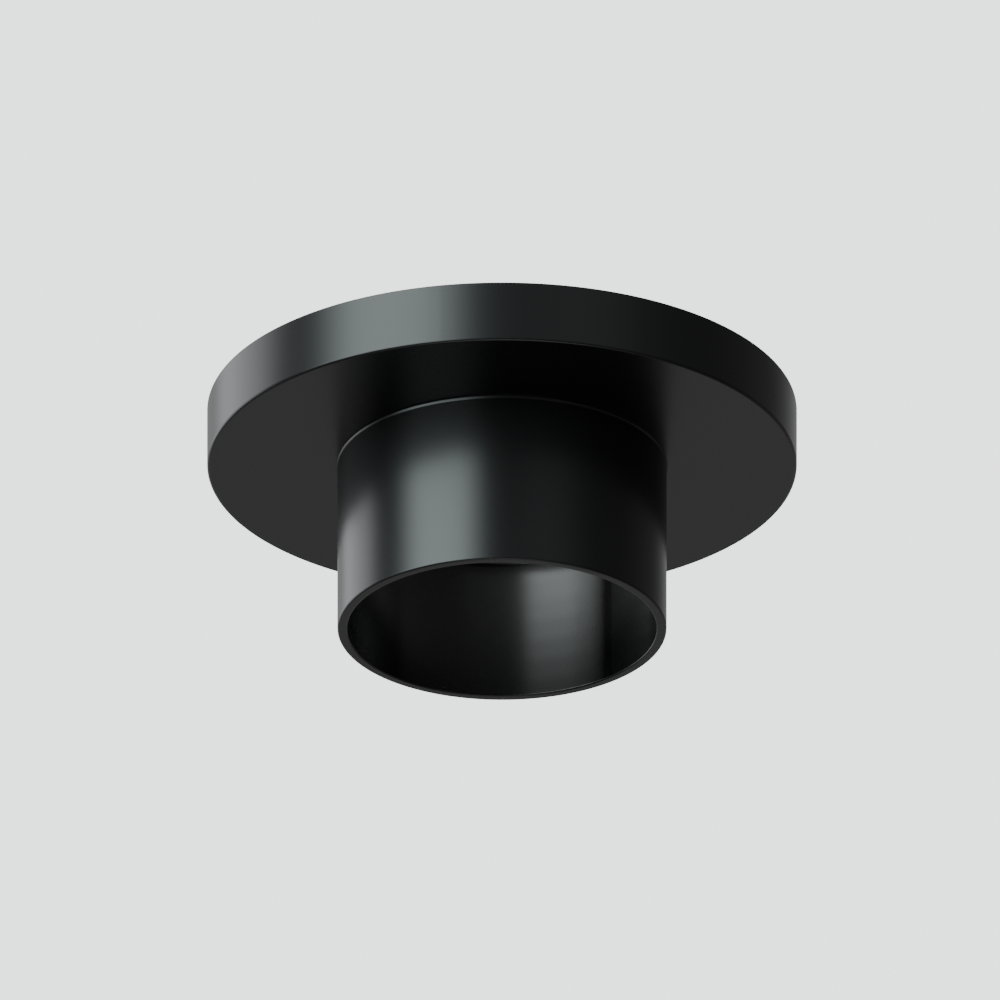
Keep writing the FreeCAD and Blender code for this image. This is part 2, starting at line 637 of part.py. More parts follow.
def terminal_block():
    """Two-pole housing with wire tunnels, cage pockets, screw wells and a screwed lug."""
    half_w = terminal_width / 2
    half_l = TERMINAL_LENGTH / 2
    body = block(-half_w, half_w, -half_l, half_l, terminal_top_d, floor_d)
    corners = [edge for edge in body.Edges if abs(edge.tangentAt(edge.FirstParameter).z) > 0.9]
    body = body.makeFillet(0.6, corners)
    lug_half = TERMINAL_LUG_WIDTH / 2
    lug = block(half_w - 0.5, half_w + TERMINAL_LUG, -lug_half, lug_half, foot_top_d, floor_d)
    body = fused(body, [lug])
    cuts = [rod(small_hole_r, 0, floor_d + 1, x=half_w + TERMINAL_LUG / 2)]
    pocket = CAGE_HALF_WIDTH + RUNNING_FIT
    for pole in terminal_poles():
        cuts.append(block(pole - pocket, pole + pocket, -cage_half, cage_half, cage_top_d, floor_d + 1))
        start = V(pole, -half_l - 1, -wire_d)
        cuts.append(Part.makeCylinder(WIRE_FUNNEL_RADIUS, TERMINAL_LENGTH + 2, start, V(0, 1, 0)))
        for end in (-1, 1):
            well = rod(CLAMPING_HEAD_RADIUS + 0.1, 0, wire_d - 1, x=pole, y=end * clamping_screw_y)
            cuts.append(well)
    return at_terminal(body.cut(cuts))


def terminal_clamps():
    """Two brass cages, bored for the wires and tapped for their screws."""
    cages = []
    for pole in terminal_poles():
        left, right = pole - CAGE_HALF_WIDTH, pole + CAGE_HALF_WIDTH
        body = block(left, right, -cage_half, cage_half, cage_top_d, floor_d - 1.0)
        start = V(pole, -cage_half - 1, -wire_d)
        cuts = [Part.makeCylinder(CAGE_BORE_RADIUS, 2 * cage_half + 2, start, V(0, 1, 0))]
        tap_r = CAGE_BORE_RADIUS + 0.02
        cuts += [rod(tap_r, 0, wire_d, x=pole, y=end * clamping_screw_y) for end in (-1, 1)]
        cages.append(at_terminal(body.cut(cuts)))
    return cages


def terminal_screws():
    """Four slotted clamping screws."""
    head_end = cage_top_d - RUNNING_FIT
    head = rod(CLAMPING_HEAD_RADIUS, terminal_top_d + SEAT_GAP, head_end)
    shank = rod(CAGE_BORE_RADIUS, head_end, wire_d - SEAT_GAP)
    slot = block(-1.5, 1.5, -0.2, 0.2, terminal_top_d - 0.1, terminal_top_d + 0.6)
    screw = fused(head, [shank]).cut(slot)
    screws = []
    for pole in terminal_poles():
        for end in (-1, 1):
            placed = screw.copy()
            placed.translate(V(pole, end * clamping_screw_y, 0))
            screws.append(at_terminal(placed))
    return screws


def terminal_fixing_screw():
    """Screw that holds the terminal block's lug."""
    return at_terminal(shifted(small_screw(foot_top_d), terminal_width / 2 + TERMINAL_LUG / 2))


def shifted(shape, x):
    """A copy of the shape moved along X."""
    placed = shape.copy()
    placed.translate(V(x, 0, 0))
    return placed


def cable_clamp():
    """Nylon saddle that grips the cable's sheath beside the terminals."""
    half_y = CLAMP_WIDTH / 2
    inner = cable_r + RUNNING_FIT
    axis_d = floor_d - cable_r
    foot_x = clamp_screw_x + SMALL_HEAD_RADIUS + 0.1
    arch = Part.makeCylinder(clamp_arch_r, CLAMP_WIDTH, V(0, -half_y, -axis_d), V(0, 1, 0))
    legs = block(-clamp_arch_r, clamp_arch_r, -half_y, half_y, axis_d, floor_d)
    feet = block(-foot_x, foot_x, -half_y, half_y, floor_d - CLAMP_STRAP, floor_d)
    keep = block(-foot_x, foot_x, -half_y, half_y, 0, floor_d)
    saddle = fused(arch, [legs, feet]).common(keep)
    cuts = [Part.makeCylinder(inner, CLAMP_WIDTH + 2, V(0, -half_y - 1, -axis_d), V(0, 1, 0))]
    cuts.append(block(-inner, inner, -half_y - 1, half_y + 1, axis_d, floor_d + 1))
    cuts += [rod(small_hole_r, 0, floor_d + 1, x=side * clamp_screw_x) for side in (-1, 1)]
    return polar(saddle.cut(cuts), clamp_r, CLAMP_ANGLE)


def clamp_screws():
    """Two screws through the saddle's feet."""
    screw = small_screw(floor_d - CLAMP_STRAP)
    return [polar(screw, clamp_r + side * clamp_screw_x, CLAMP_ANGLE) for side in (-1, 1)]


def supply_lead(name, side):
    """Lead from a terminal cage round the canopy's floor to the driver's end."""
    run_r = supply_lane_r(side)
    pole_r = lane_r + side * TERMINAL_PITCH / 2
    start = spot(pole_r, TERMINAL_ANGLE, wire_d, cage_half)
    leave = spot(pole_r, TERMINAL_ANGLE, wire_d, cage_half + 8.0)
    points = [start, leave]
    points += [spot(run_r, angle, wire_d) for angle in (2.0, 21.0, 40.0)]
    end_angle = DRIVER_ANGLE - potting_half
    points.append(spot(run_r, end_angle, wire_d, -11.0))
    points.append(spot(run_r, end_angle, wire_d))
    return lead(name, points, supply_lead_r)


# ---- glass and barrel ----
def lens_glass():
    """Toughened glass disc with ground edges."""
    land_r = glass_r - GLASS_EDGE_BREAK
    outline = [(0, glass_top_d), (land_r, glass_top_d), (glass_r, glass_top_d + GLASS_EDGE_BREAK)]
    outline += [(glass_r, lip_top_d - GLASS_EDGE_BREAK), (land_r, lip_top_d), (0, lip_top_d)]
    return turned(outline)


def glass_gasket():
    """Silicone ring between the engine's nose and the glass, which also keeps the optic in."""
    return washer(nose_bore_r - 0.6, nose_r, gasket_top_d, glass_top_d)


def barrel():
    """Open tube with a threaded spigot, a glass lip, a seal groove and a small flare at its foot."""
    groove_d = CANOPY_HEIGHT + SEAL_DEPTH
    foot_r = barrel_r + FOOT_FLARE
    outline = [(spigot_bore_r, thread_top_d), (spigot_r, thread_top_d), (spigot_r, CANOPY_HEIGHT)]
    outline += [(seal_r, CANOPY_HEIGHT), (seal_r, groove_d), (seal_r + SEAL_WIDTH, groove_d)]
    outline += [(seal_r + SEAL_WIDTH, CANOPY_HEIGHT), (foot_r, CANOPY_HEIGHT)]
    outline += [(barrel_r, CANOPY_HEIGHT + FOOT_HEIGHT), (barrel_r, rim_d - RIM_BREAK)]
    outline += [(barrel_r - RIM_BREAK, rim_d), (barrel_bore_r + RIM_BREAK, rim_d)]
    outline += [(barrel_bore_r, rim_d - RIM_BREAK), (barrel_bore_r, lip_under_d), (lip_r, lip_under_d)]
    outline += [(lip_r, lip_top_d), (spigot_bore_r, lip_top_d)]
    return turned(outline)


def barrel_seal():
    """Square-section ring that seals the barrel's shoulder against the canopy's face."""
    top = CANOPY_HEIGHT + RUNNING_FIT
    return washer(seal_r + 0.05, seal_r + SEAL_WIDTH - 0.05, top, CANOPY_HEIGHT + SEAL_DEPTH)


def save(name, solids):
    """Write one node, which is a solid or a group of identical ones."""
    shape = Part.makeCompound(solids) if isinstance(solids, list) else solids
    for solid in shape.Solids:
        if not solid.isValid() or solid.Volume <= 0:
            print(f"{name} has a faulty solid")
    shape.exportStep(f"parts/{name}.step")
    print(f"{name}: {len(shape.Solids)} solid(s), {shape.Volume:.1f} mm3")


os.makedirs("parts", exist_ok=True)
save("mounting_ring", mounting_ring())
save("cable_grommet", cable_grommet())
save("canopy", canopy())
save("ceiling_seal", ceiling_seal())
save("lock_screw", lock_screw())
save("engine_body", engine_body())
save("engine_screws", engine_screws())
save("engine_gasket", engine_gasket())
save("thermal_pad", thermal_pad())
save("led_board", led_board())
save("led_chips", led_chips())
save("board_screws", board_screws())
save("optic", optic())
save("lead_gland", lead_gland())
save("led_lead_red", led_lead("led_lead_red", 1))
save("led_lead_black", led_lead("led_lead_black", -1))
save("driver_case", driver_case())
save("driver_potting", driver_potting())
save("driver_screws", driver_screws())
save("terminal_block", terminal_block())
save("terminal_clamps", terminal_clamps())
save("terminal_screws", terminal_screws())
save("terminal_fixing_screw", terminal_fixing_screw())
save("cable_clamp", cable_clamp())
save("clamp_screws", clamp_screws())
save("supply_lead_red", supply_lead("supply_lead_red", 1))
save("supply_lead_black", supply_lead("supply_lead_black", -1))
save("lens_glass", lens_glass())
save("glass_gasket", glass_gasket())
save("barrel", barrel())
save("barrel_seal", barrel_seal())
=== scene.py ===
"""Looks of a soffit downlight: a shallow black canopy with a short open barrel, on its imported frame.

Sizes in the piece classes are millimetres, as on a drawing, and become metres when a mesh is made. Names
that end in _r are radii, and names that end in _d are depths. A depth of d lies at z = -d, under the soffit.
Angles are degrees, anticlockwise from +X as seen from above.
"""

import logging
import math
from dataclasses import dataclass
from enum import Enum
from typing import Callable, Optional, Sequence, Union

import bpy
import bmesh
import numpy as np
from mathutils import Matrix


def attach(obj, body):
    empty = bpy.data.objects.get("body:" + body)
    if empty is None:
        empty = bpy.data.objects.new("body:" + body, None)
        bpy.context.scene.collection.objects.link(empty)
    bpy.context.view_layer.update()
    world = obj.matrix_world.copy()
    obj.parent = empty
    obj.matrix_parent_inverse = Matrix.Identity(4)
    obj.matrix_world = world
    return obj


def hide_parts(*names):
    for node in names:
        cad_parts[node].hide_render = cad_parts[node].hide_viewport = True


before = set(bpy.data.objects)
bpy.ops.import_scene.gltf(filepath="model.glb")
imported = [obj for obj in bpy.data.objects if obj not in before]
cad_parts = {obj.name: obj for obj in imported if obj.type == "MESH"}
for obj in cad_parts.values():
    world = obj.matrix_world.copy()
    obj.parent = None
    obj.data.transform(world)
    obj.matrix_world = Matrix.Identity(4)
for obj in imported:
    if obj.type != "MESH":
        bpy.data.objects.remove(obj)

LOG = logging.getLogger("soffit_downlight")
MM = 0.001
TURN = 2.0 * math.pi
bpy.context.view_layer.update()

# Points closer than these merge, in metres: at poles and seams, in a copied node, and along a cut.
POLE_GAP, CAD_GAP, CUT_GAP = 1e-7, 1e-6, 2e-6
# In a copied node, edges past the first angle are drawn sharp, and faces within the second join.
CAD_CREASE, CAD_FLAT = 32.0, 0.5

FACE_D = 12.0
FLOOR_D = 9.2
BOSS_PLACE_R = 33.2
BOSS_ANGLES = (50.0, 170.0, 290.0)
LOCK_ANGLE = 90.0
LOCK_D = 6.9

Pair = tuple[float, float]
Triple = tuple[float, float, float]


# -------- shader expressions

def maths(operation: str) -> Callable[["Wire", "Value"], "Wire"]:
    """The method that puts one Math node on a wire and another value."""
    return lambda wire, other: wire.op(operation, other)


@dataclass(frozen=True, eq=False)
class Wire:
    """One output of a shader tree, so that shader maths reads as an expression on values."""

    tree: "Tree"
    socket: bpy.types.NodeSocket

    def op(self, operation: str, *others: "Value") -> "Wire":
        """The result of one Math node on this value and up to two others."""
        inputs = dict(enumerate((self, *others)))
        return self.tree.node("ShaderNodeMath", {"operation": operation}, inputs)["Value"]

    def __rsub__(self, other: "Value") -> "Wire":
        """Number less this value."""
        return (self * -1.0) + other

    def __abs__(self) -> "Wire":
        """Size of this value without its sign."""
        return self.op("ABSOLUTE")

    __add__ = __radd__ = maths("ADD")
    __mul__ = __rmul__ = maths("MULTIPLY")
    __sub__ = maths("SUBTRACT")
    __truediv__ = maths("DIVIDE")


Value = Union[Wire, float]
Colour = Union[Wire, Sequence[float]]


@dataclass(frozen=True, eq=False)
class Outputs:
    """A finished node, whose outputs are read as wires."""

    tree: "Tree"
    node: bpy.types.Node

    def __getitem__(self, key: Union[str, int]) -> Wire:
        """The output of that name or number."""
        return Wire(self.tree, self.node.outputs[key])


class Tree:
    """The node tree of one material or of the world."""

    def __init__(self, owner: Union[bpy.types.Material, bpy.types.World]) -> None:
        """Empty the owner's node tree and take it over."""
        owner.use_nodes = True
        self.nodes = owner.node_tree.nodes
        self.links = owner.node_tree.links
        self.nodes.clear()

    def node(self, kind: str, settings: Optional[dict] = None, inputs: Optional[dict] = None) -> Outputs:
        """Add one node.

        Args:
            kind: The node's type name.
            settings: Its own settings, set before its sockets.
            inputs: Values or wires for its input sockets, by name or number.

        Returns:
            The node, for its outputs.
        """
        made = self.nodes.new(kind)
        for key, value in (settings or {}).items():
            setattr(made, key, value)
        for key, value in (inputs or {}).items():
            if isinstance(value, Wire):
                self.links.new(value.socket, made.inputs[key])
            else:
                made.inputs[key].default_value = value
        return Outputs(self, made)

    def place(self) -> Wire:
        """Object coordinates, in metres."""
        return self.node("ShaderNodeTexCoord")["Object"]

    def noise(self, size: float, detail: float = 2.0, place: Optional[Wire] = None) -> Wire:
        """Noise from 0 to 1 in lumps of about size millimetres, read at a place or on the object."""
        inputs = {"Vector": place or self.place(), "Scale": 1.0 / (size * MM), "Detail": detail}
        return self.node("ShaderNodeTexNoise", {}, inputs)["Fac"]

    def mix(self, share: Value, first: Colour, second: Colour) -> Wire:
        """Mix of two colours: the first at a share of 0, and the second at 1."""
        first, second = (part if isinstance(part, Wire) else (*part, 1.0) for part in (first, second))
        return self.node("ShaderNodeMix", {"data_type": "RGBA"}, {0: share, 6: first, 7: second})[2]

    def vector(self, operation: str, first: Wire, second: Colour, output: str = "Vector") -> Wire:
        """The result of one Vector Math node on two vectors."""
        return self.node("ShaderNodeVectorMath", {"operation": operation}, {0: first, 1: second})[output]

    def reach(self) -> Wire:
        """Distance in metres from the fitting's axis."""
        flat = self.vector("MULTIPLY", self.place(), (1.0, 1.0, 0.0))
        return self.vector("DISTANCE", flat, (0.0, 0.0, 0.0), "Value")

    def rings(self, width: float, detail: float) -> Wire:
        """Noise from 0 to 1 that changes only with the reach, as a lathe tool marks a face."""
        inputs = {"W": self.reach() / (width * MM), "Scale": 1.0, "Detail": detail}
        return self.node("ShaderNodeTexNoise", {"noise_dimensions": "1D"}, inputs)["Fac"]

    def cells(self, size: float) -> Outputs:
        """Cells about size millimetres across, with each cell's own colour and the distance in it."""
        inputs = {"Vector": self.place(), "Scale": 1.0 / (size * MM)}
        return self.node("ShaderNodeTexVoronoi", {"feature": "F1"}, inputs)

    def smooth(self, value: Wire, start: float, end: float) -> Wire:
        """Smooth step: 0 where the value is at start, 1 where it is at end."""
        inputs = {"Value": value, "From Min": start, "From Max": end}
        return self.node("ShaderNodeMapRange", {"interpolation_type": "SMOOTHSTEP"}, inputs)["Result"]

    def bump(self, height: Wire, depth: float) -> Wire:
        """Normal of a surface whose relief from 0 to 1 is depth millimetres deep."""
        return self.node("ShaderNodeBump", {}, {"Height": height, "Distance": depth * MM})["Normal"]


# -------- finishes

@dataclass(frozen=True)
class Finish:
    """A finish of one colour, with a fine grain in its gloss and surface, and a slot name, if any."""

    name: str
    slot: str
    colour: Triple
    roughness: float = 0.5
    metallic: float = 0.0
    shade: float = 0.1
    grain: float = 0.5
    relief: float = 0.01
    ior: float = 1.5
    mottle: float = 8.0

    def material(self) -> bpy.types.Material:
        """The finish as a material, made once."""
        found = bpy.data.materials.get(self.name)
        if found:
            return found
        made = bpy.data.materials.new(self.name)
        tree = Tree(made)
        tree.node("ShaderNodeOutputMaterial", {}, {"Surface": self.shader(tree)})
        return made

    def tone(self, share: float) -> Triple:
        """The base colour scaled by a share."""
        return tuple(min(1.0, part * share) for part in self.colour)

    def shaded(self, tree: Tree, share: Value) -> Wire:
        """The base colour, from its dark shade at 0 to its light one at 1."""
        return tree.mix(share, self.tone(1.0 - self.shade), self.tone(1.0 + self.shade))

    def mottled(self, tree: Tree) -> Wire:
        """The base colour, shaded lightly in lumps."""
        return self.shaded(tree, tree.noise(self.mottle))

    def principled(self, tree: Tree, **inputs: object) -> Wire:
        """A Principled shader with this finish's constants and the inputs given by socket name."""
        sockets = {"Metallic": self.metallic, "IOR": self.ior, "Roughness": self.roughness}
        sockets.update({key.replace("_", " "): value for key, value in inputs.items()})
        return tree.node("ShaderNodeBsdfPrincipled", {}, sockets)["BSDF"]

    def shader(self, tree: Tree) -> Wire:
        """Mottled colour, with a grain in the gloss and the surface."""
        grain = tree.noise(self.grain)
        rough = self.roughness * (0.85 + 0.3 * grain)
        normal = tree.bump(grain, self.relief)
        return self.principled(tree, Base_Color=self.mottled(tree), Roughness=rough, Normal=normal)


@dataclass(frozen=True)
class PowderCoat(Finish):
    """Satin polyester powder coat: a near-black film with a faint orange peel."""

    peel: float = 1.6
    fleck: float = 0.12
    drift: float = 22.0

    def shader(self, tree: Tree) -> Wire:
        """Film whose gloss drifts slowly, over a soft peel and a fine fleck."""
        place = tree.place()
        drift = tree.noise(self.drift, 1.0, place)
        peel = tree.noise(self.peel, 1.0, place)
        fleck = tree.noise(self.fleck, 2.0, place)
        rough = self.roughness * (0.97 + 0.06 * drift)
        normal = tree.bump(peel * 0.8 + fleck * 0.2, self.relief)
        return self.principled(tree, Base_Color=self.shaded(tree, fleck), Roughness=rough, Normal=normal)


@dataclass(frozen=True)
class ZincPlate(Finish):
    """Bright zinc over pressed steel: crystals of slightly different tone, with faint rolling lines."""

    crystal: float = 1.4
    blue: Triple = (0.50, 0.54, 0.58)
    line: float = 0.12
    stretch: Triple = (0.05, 1.0, 1.0)

    def shader(self, tree: Tree) -> Wire:
        """Crystals tint the plate and turn its gloss, and long thin noise lays rolling lines across it."""
        crystal = tree.node("ShaderNodeSeparateColor", {}, {0: tree.cells(self.crystal)["Color"]})["Red"]
        lines = tree.noise(self.line, 1.0, tree.vector("MULTIPLY", tree.place(), self.stretch))
        haze = tree.noise(14.0)
        colour = tree.mix(crystal * 0.5 + haze * 0.3, self.tone(1.0 + self.shade), self.blue)
        rough = self.roughness + 0.16 * crystal + 0.12 * haze - 0.1
        return self.principled(tree, Base_Color=colour, Roughness=rough, Normal=tree.bump(lines, self.relief))


@dataclass(frozen=True)
class TurnedMetal(Finish):
    """Metal faced on a lathe: fine rings round the axis under a thin haze."""

    ring: float = 0.35

    def shader(self, tree: Tree) -> Wire:
        """Rings of tone, gloss and relief that change only with the radius."""
        rings = tree.rings(self.ring, 3.0)
        haze = tree.noise(9.0)
        rough = self.roughness * (0.6 + 0.8 * rings) + 0.08 * haze
        colour = self.shaded(tree, 0.55 * rings + 0.45 * haze)
        return self.principled(tree, Base_Color=colour, Roughness=rough, Normal=tree.bump(rings, self.relief))


@dataclass(frozen=True)
class CellFoam(Finish):
    """Closed-cell foam: small open pits where the cord was cut through its cells, with painted shade in them.
    """

    pit: float = 0.28

    def shader(self, tree: Tree) -> Wire:
        """Pits sink into the skin, and painted shade darkens its colour in them."""
        pits = tree.smooth(tree.cells(self.pit)["Distance"], 0.15, 0.55)
        # Painted shade: the colour is darkest in the pits, where the surface sinks.
        colour = tree.mix(pits, self.tone(0.45), self.tone(1.0 + self.shade * 0.5))
        return self.principled(tree, Base_Color=colour, Normal=tree.bump(pits, self.relief))


@dataclass(frozen=True)
class Clear(Finish):
    """Clear glass, acrylic or silicone, whose rim past an optional radius is ground dull."""

    transmission: float = 1.0
    ground_r: float = 0.0
    ground_roughness: float = 0.42
    ground_blend: float = 0.05
    mottle: float = 5.0

    def shader(self, tree: Tree) -> Wire:
        """Faint ripples in the faces, and a dull ground edge where there is one."""
        sockets = {"Transmission_Weight": self.transmission}
        if self.ground_r:
            inner, outer = self.ground_r - self.ground_blend, self.ground_r + self.ground_blend
            ground = tree.smooth(tree.reach(), inner * MM, outer * MM)
            sockets["Roughness"] = self.roughness + ground * (self.ground_roughness - self.roughness)
            sockets["Base_Color"] = tree.mix(ground, self.colour, self.tone(0.82))
        else:
            sockets["Base_Color"] = self.mottled(tree)
        sockets["Normal"] = tree.bump(tree.noise(6.0, 1.0), self.relief)
        return self.principled(tree, **sockets)


@dataclass(frozen=True)
class BoardMask(Finish):
    """White solder mask over an aluminium board, with its copper showing as a faint relief."""

    track_r: float = 10.8
    track_half: float = 1.1
    groove_half: float = 0.12
    slope: float = 0.08
    copper: Triple = (0.80, 0.72, 0.60)
    mottle: float = 6.0

    def shader(self, tree: Tree) -> Wire:
        """A ring of copper under the mask, split by a groove, lifts it a little and warms its tone."""
        away = abs(tree.reach() - self.track_r * MM)
        track = tree.smooth(away, (self.track_half + self.slope) * MM, self.track_half * MM)
        gap = tree.smooth(away, self.groove_half * MM, (self.groove_half + self.slope) * MM)
        copper = track * gap
        cloud = tree.noise(3.0)
        colour = tree.mix(copper * 0.35, self.mottled(tree), self.copper)
        rough = self.roughness + 0.08 * cloud - 0.05 * copper
        normal = tree.bump(copper * 0.9 + tree.noise(0.3) * 0.1, self.relief)
        return self.principled(tree, Base_Color=colour, Roughness=rough, Normal=normal)


# Each has its name, slot, colour and roughness, and then what differs from its class's own values.
BLACK_COAT = PowderCoat("satin_black_coat", "black_coat", (0.0115, 0.0115, 0.0118), 0.27, relief=0.0012,
                        shade=0.15)
RUBBER = Finish("black_rubber_seal", "black_rubber", (0.018, 0.018, 0.019), 0.62, grain=0.25, relief=0.02)
FOAM = CellFoam("foam_cord", "seal_foam", (0.030, 0.030, 0.032), 0.9, relief=0.08, shade=0.4)
ZINC = ZincPlate("bright_zinc", "plated_steel", (0.66, 0.67, 0.68), 0.34, metallic=1.0, relief=0.004)
ALUMINIUM = TurnedMetal("turned_aluminium", "bare_aluminium", (0.72, 0.725, 0.73), 0.30, metallic=1.0,
                        relief=0.02)
STAINLESS = Finish("stainless_steel", "stainless", (0.62, 0.61, 0.59), 0.24, metallic=1.0, grain=0.3,
                   relief=0.003)
BLACK_STEEL = Finish("blackened_steel", "black_steel", (0.028, 0.028, 0.031), 0.38, metallic=0.6, grain=0.2,
                     relief=0.004)
BRASS = Finish("plain_brass", "brass", (0.78, 0.57, 0.25), 0.28, metallic=1.0, grain=0.4, relief=0.004)
TINNED = Finish("tinned_copper", "stainless", (0.70, 0.69, 0.66), 0.30, metallic=1.0, grain=0.15,
                relief=0.004)
COPPER = Finish("bare_copper", "brass", (0.80, 0.44, 0.30), 0.32, metallic=1.0, grain=0.15, relief=0.006)
RED_SILICONE = Finish("red_silicone", "silicone_red", (0.42, 0.075, 0.045), 0.48, grain=0.4, relief=0.008)
CLEAR_SILICONE = Clear("clear_silicone", "silicone_clear", (0.86, 0.89, 0.90), 0.32, ior=1.41,
                       transmission=0.75, relief=0.01)
GAP_PAD = Finish("grey_blue_pad", "gap_pad", (0.30, 0.38, 0.46), 0.78, grain=0.5, relief=0.02, shade=0.15)
BOARD = BoardMask("white_board_mask", "board_white", (0.84, 0.84, 0.81), 0.34, relief=0.03, shade=0.02)
CERAMIC = Finish("white_ceramic", "led_package", (0.83, 0.82, 0.78), 0.42, grain=0.12, relief=0.004,
                 shade=0.03)
PHOSPHOR = Finish("yellow_phosphor", "led_package", (0.90, 0.66, 0.09), 0.62, grain=0.06, relief=0.01,
                  shade=0.12)
DOME = Clear("clear_dome", "led_package", (0.97, 0.97, 0.95), 0.03, ior=1.41, relief=0.0005)
ACRYLIC = Clear("clear_acrylic_lens", "clear_acrylic", (0.97, 0.98, 0.98), 0.02, ior=1.49, relief=0.0008,
                shade=0.01)
GLASS = Clear("clear_float_glass", "clear_glass", (0.93, 0.975, 0.955), 0.015, ior=1.52, relief=0.0006,
              ground_r=24.68)
RED_PVC = Finish("red_insulation", "lead_red", (0.48, 0.012, 0.012), 0.36, grain=0.35, relief=0.006)
BLACK_PVC = Finish("black_insulation", "lead_black", (0.014, 0.014, 0.015), 0.36, grain=0.35, relief=0.006)
TRAY = Finish("grey_tray", "driver_plastic", (0.060, 0.062, 0.068), 0.50, grain=0.18, relief=0.012)
RESIN = Finish("black_resin", "potting_resin", (0.012, 0.012, 0.014), 0.11, grain=4.0, relief=0.02, shade=0.2)
POLYAMIDE = Finish("white_polyamide", "terminal_plastic", (0.74, 0.74, 0.71), 0.46, grain=0.25, relief=0.008,
                   shade=0.03)
NYLON = Finish("natural_nylon", "clamp_nylon", (0.78, 0.76, 0.69), 0.40, grain=0.6, relief=0.01, shade=0.04)
PALE_FLOOR = Finish("pale_floor", "", (0.6, 0.61, 0.605), 0.9, grain=3.0, shade=0.01)


# -------- surfaces

class Shell:
    """A closed surface: points in millimetres, and four-cornered faces that point outward."""

    def __init__(self, points: np.ndarray, faces: np.ndarray) -> None:
        """Keep the points and faces, turned outward by the sign of the volume they enclose."""
        a, b, c, d = (points[faces[:, i]] for i in range(4))
        volume = np.einsum("ij,ij->i", a, np.cross(b, c) + np.cross(c, d)).sum()
        self.points = points
        self.faces = faces if volume > 0 else faces[:, ::-1]

    def spun(self, angle: float, first: int, second: int) -> "Shell":
        """A copy turned by degrees from one axis towards another.

        Args:
            angle: The angle.
            first: Number of the axis that it turns away from.
            second: Number of the axis that it turns towards.

        Returns:
            The turned copy.
        """
        turn = math.radians(angle)
        a, b = self.points[:, first], self.points[:, second]
        points = self.points.copy()
        points[:, first] = a * math.cos(turn) - b * math.sin(turn)
        points[:, second] = a * math.sin(turn) + b * math.cos(turn)
        return Shell(points, self.faces)

    def turned(self, angle: float) -> "Shell":
        """A copy turned about the fitting's axis by degrees."""
        return self.spun(angle, 0, 1)

    def tipped(self, angle: float) -> "Shell":
        """A copy tipped about the Y axis by degrees, from +Z towards +X."""
        return self.spun(angle, 2, 0)

    def moved(self, x: float, y: float = 0.0, z: float = 0.0) -> "Shell":
        """A copy moved by millimetres."""
        return Shell(self.points + np.array((x, y, z)), self.faces)

    def polar(self, radius: float, angle: float) -> "Shell":
        """A copy moved out along X, then turned about the fitting's axis."""
        return self.moved(radius).turned(angle)

    def spread(self, radius: float, angles: Sequence[float]) -> list["Shell"]:
        """Copies at one radius and several angles."""
        return [self.polar(radius, angle) for angle in angles]


def grid_shell(points: np.ndarray, looped: bool) -> Shell:
    """Closed surface over a grid of points whose columns wrap round.

    Args:
        points: Array of rows by columns by 3, in millimetres.
        looped: Whether the last row joins the first. Where it doesn't, each of them is one point.

    Returns:
        The surface, whose face (i, j) joins rows i and i + 1 with columns j and j + 1.
    """
    rows, columns = points.shape[:2]
    index = np.arange(rows * columns).reshape(rows, columns)
    below = np.roll(index, -1, axis=0)
    if not looped:
        index, below = index[:-1], below[:-1]
    corners = (index, below, np.roll(below, -1, axis=1), np.roll(index, -1, axis=1))
    return Shell(points.reshape(-1, 3), np.stack(corners, axis=-1).reshape(-1, 4))


def swept(sections: np.ndarray) -> Shell:
    """Closed surface through closed sections, each end section capped by a fan from its mean point."""
    ends = [np.repeat(sections[i].mean(axis=0)[None, None, :], sections.shape[1], axis=1) for i in (0, -1)]
    return grid_shell(np.concatenate((ends[0], sections, ends[1])), looped=False)


def bent(corners: Sequence[Sequence[float]], step: float = 15.0) -> np.ndarray:
    """Closed outline with its corners rounded.

    A corner (a, b, bend) becomes an arc of that radius, tangent to both of its sides: it starts
    bend * tan(turn / 2) before the corner, and its points turn about the arc's centre in equal angles.

    Args:
        corners: Corners in order, each (a, b) for a sharp one or (a, b, bend) for a round one.
        step: Largest angle between points of an arc, in degrees.

    Returns:
        Array of points by 2.
    """
    flat = np.array([corner[:2] for corner in corners], float)
    points = []
    for i, corner in enumerate(corners):
        bend = corner[2] if len(corner) > 2 else 0.0
        here = flat[i]
        into = here - flat[i - 1]
        out = flat[(i + 1) % len(flat)] - here
        into /= np.linalg.norm(into)
        out /= np.linalg.norm(out)
        turn = math.atan2(into[0] * out[1] - into[1] * out[0], into @ out)
        if not bend or abs(turn) < 1e-6:
            points.append(here[None, :])
            continue
        side = math.copysign(1.0, turn) * np.array((-into[1], into[0]))
        centre = here - into * bend * math.tan(abs(turn) / 2) + side * bend
        angles = np.linspace(0.0, turn, max(2, math.ceil(math.degrees(abs(turn)) / step)) + 1)
        x, y = -side * bend
        arc = (x * np.cos(angles) - y * np.sin(angles), x * np.sin(angles) + y * np.cos(angles))
        points.append(centre + np.stack(arc, axis=1))
    return np.concatenate(points)


def ruled(outline: np.ndarray, start: Pair, end: Pair, count: int) -> np.ndarray:
    """Outline with one straight side divided evenly.

    Args:
        outline: Closed outline, points by 2.
        start: Point of the outline where the side starts.
        end: The next point, where it ends.
        count: Number of parts that the side is divided into.

    Returns:
        The outline with count - 1 more points.
    """
    at = int(np.argmin(np.abs(outline - np.array(start)).sum(axis=1)))
    share = np.linspace(0.0, 1.0, count + 1)[1:-1, None]
    added = np.array(start) * (1 - share) + np.array(end) * share
    return np.insert(outline, at + 1, added, axis=0)


Change = Callable[[np.ndarray, np.ndarray, np.ndarray], np.ndarray]


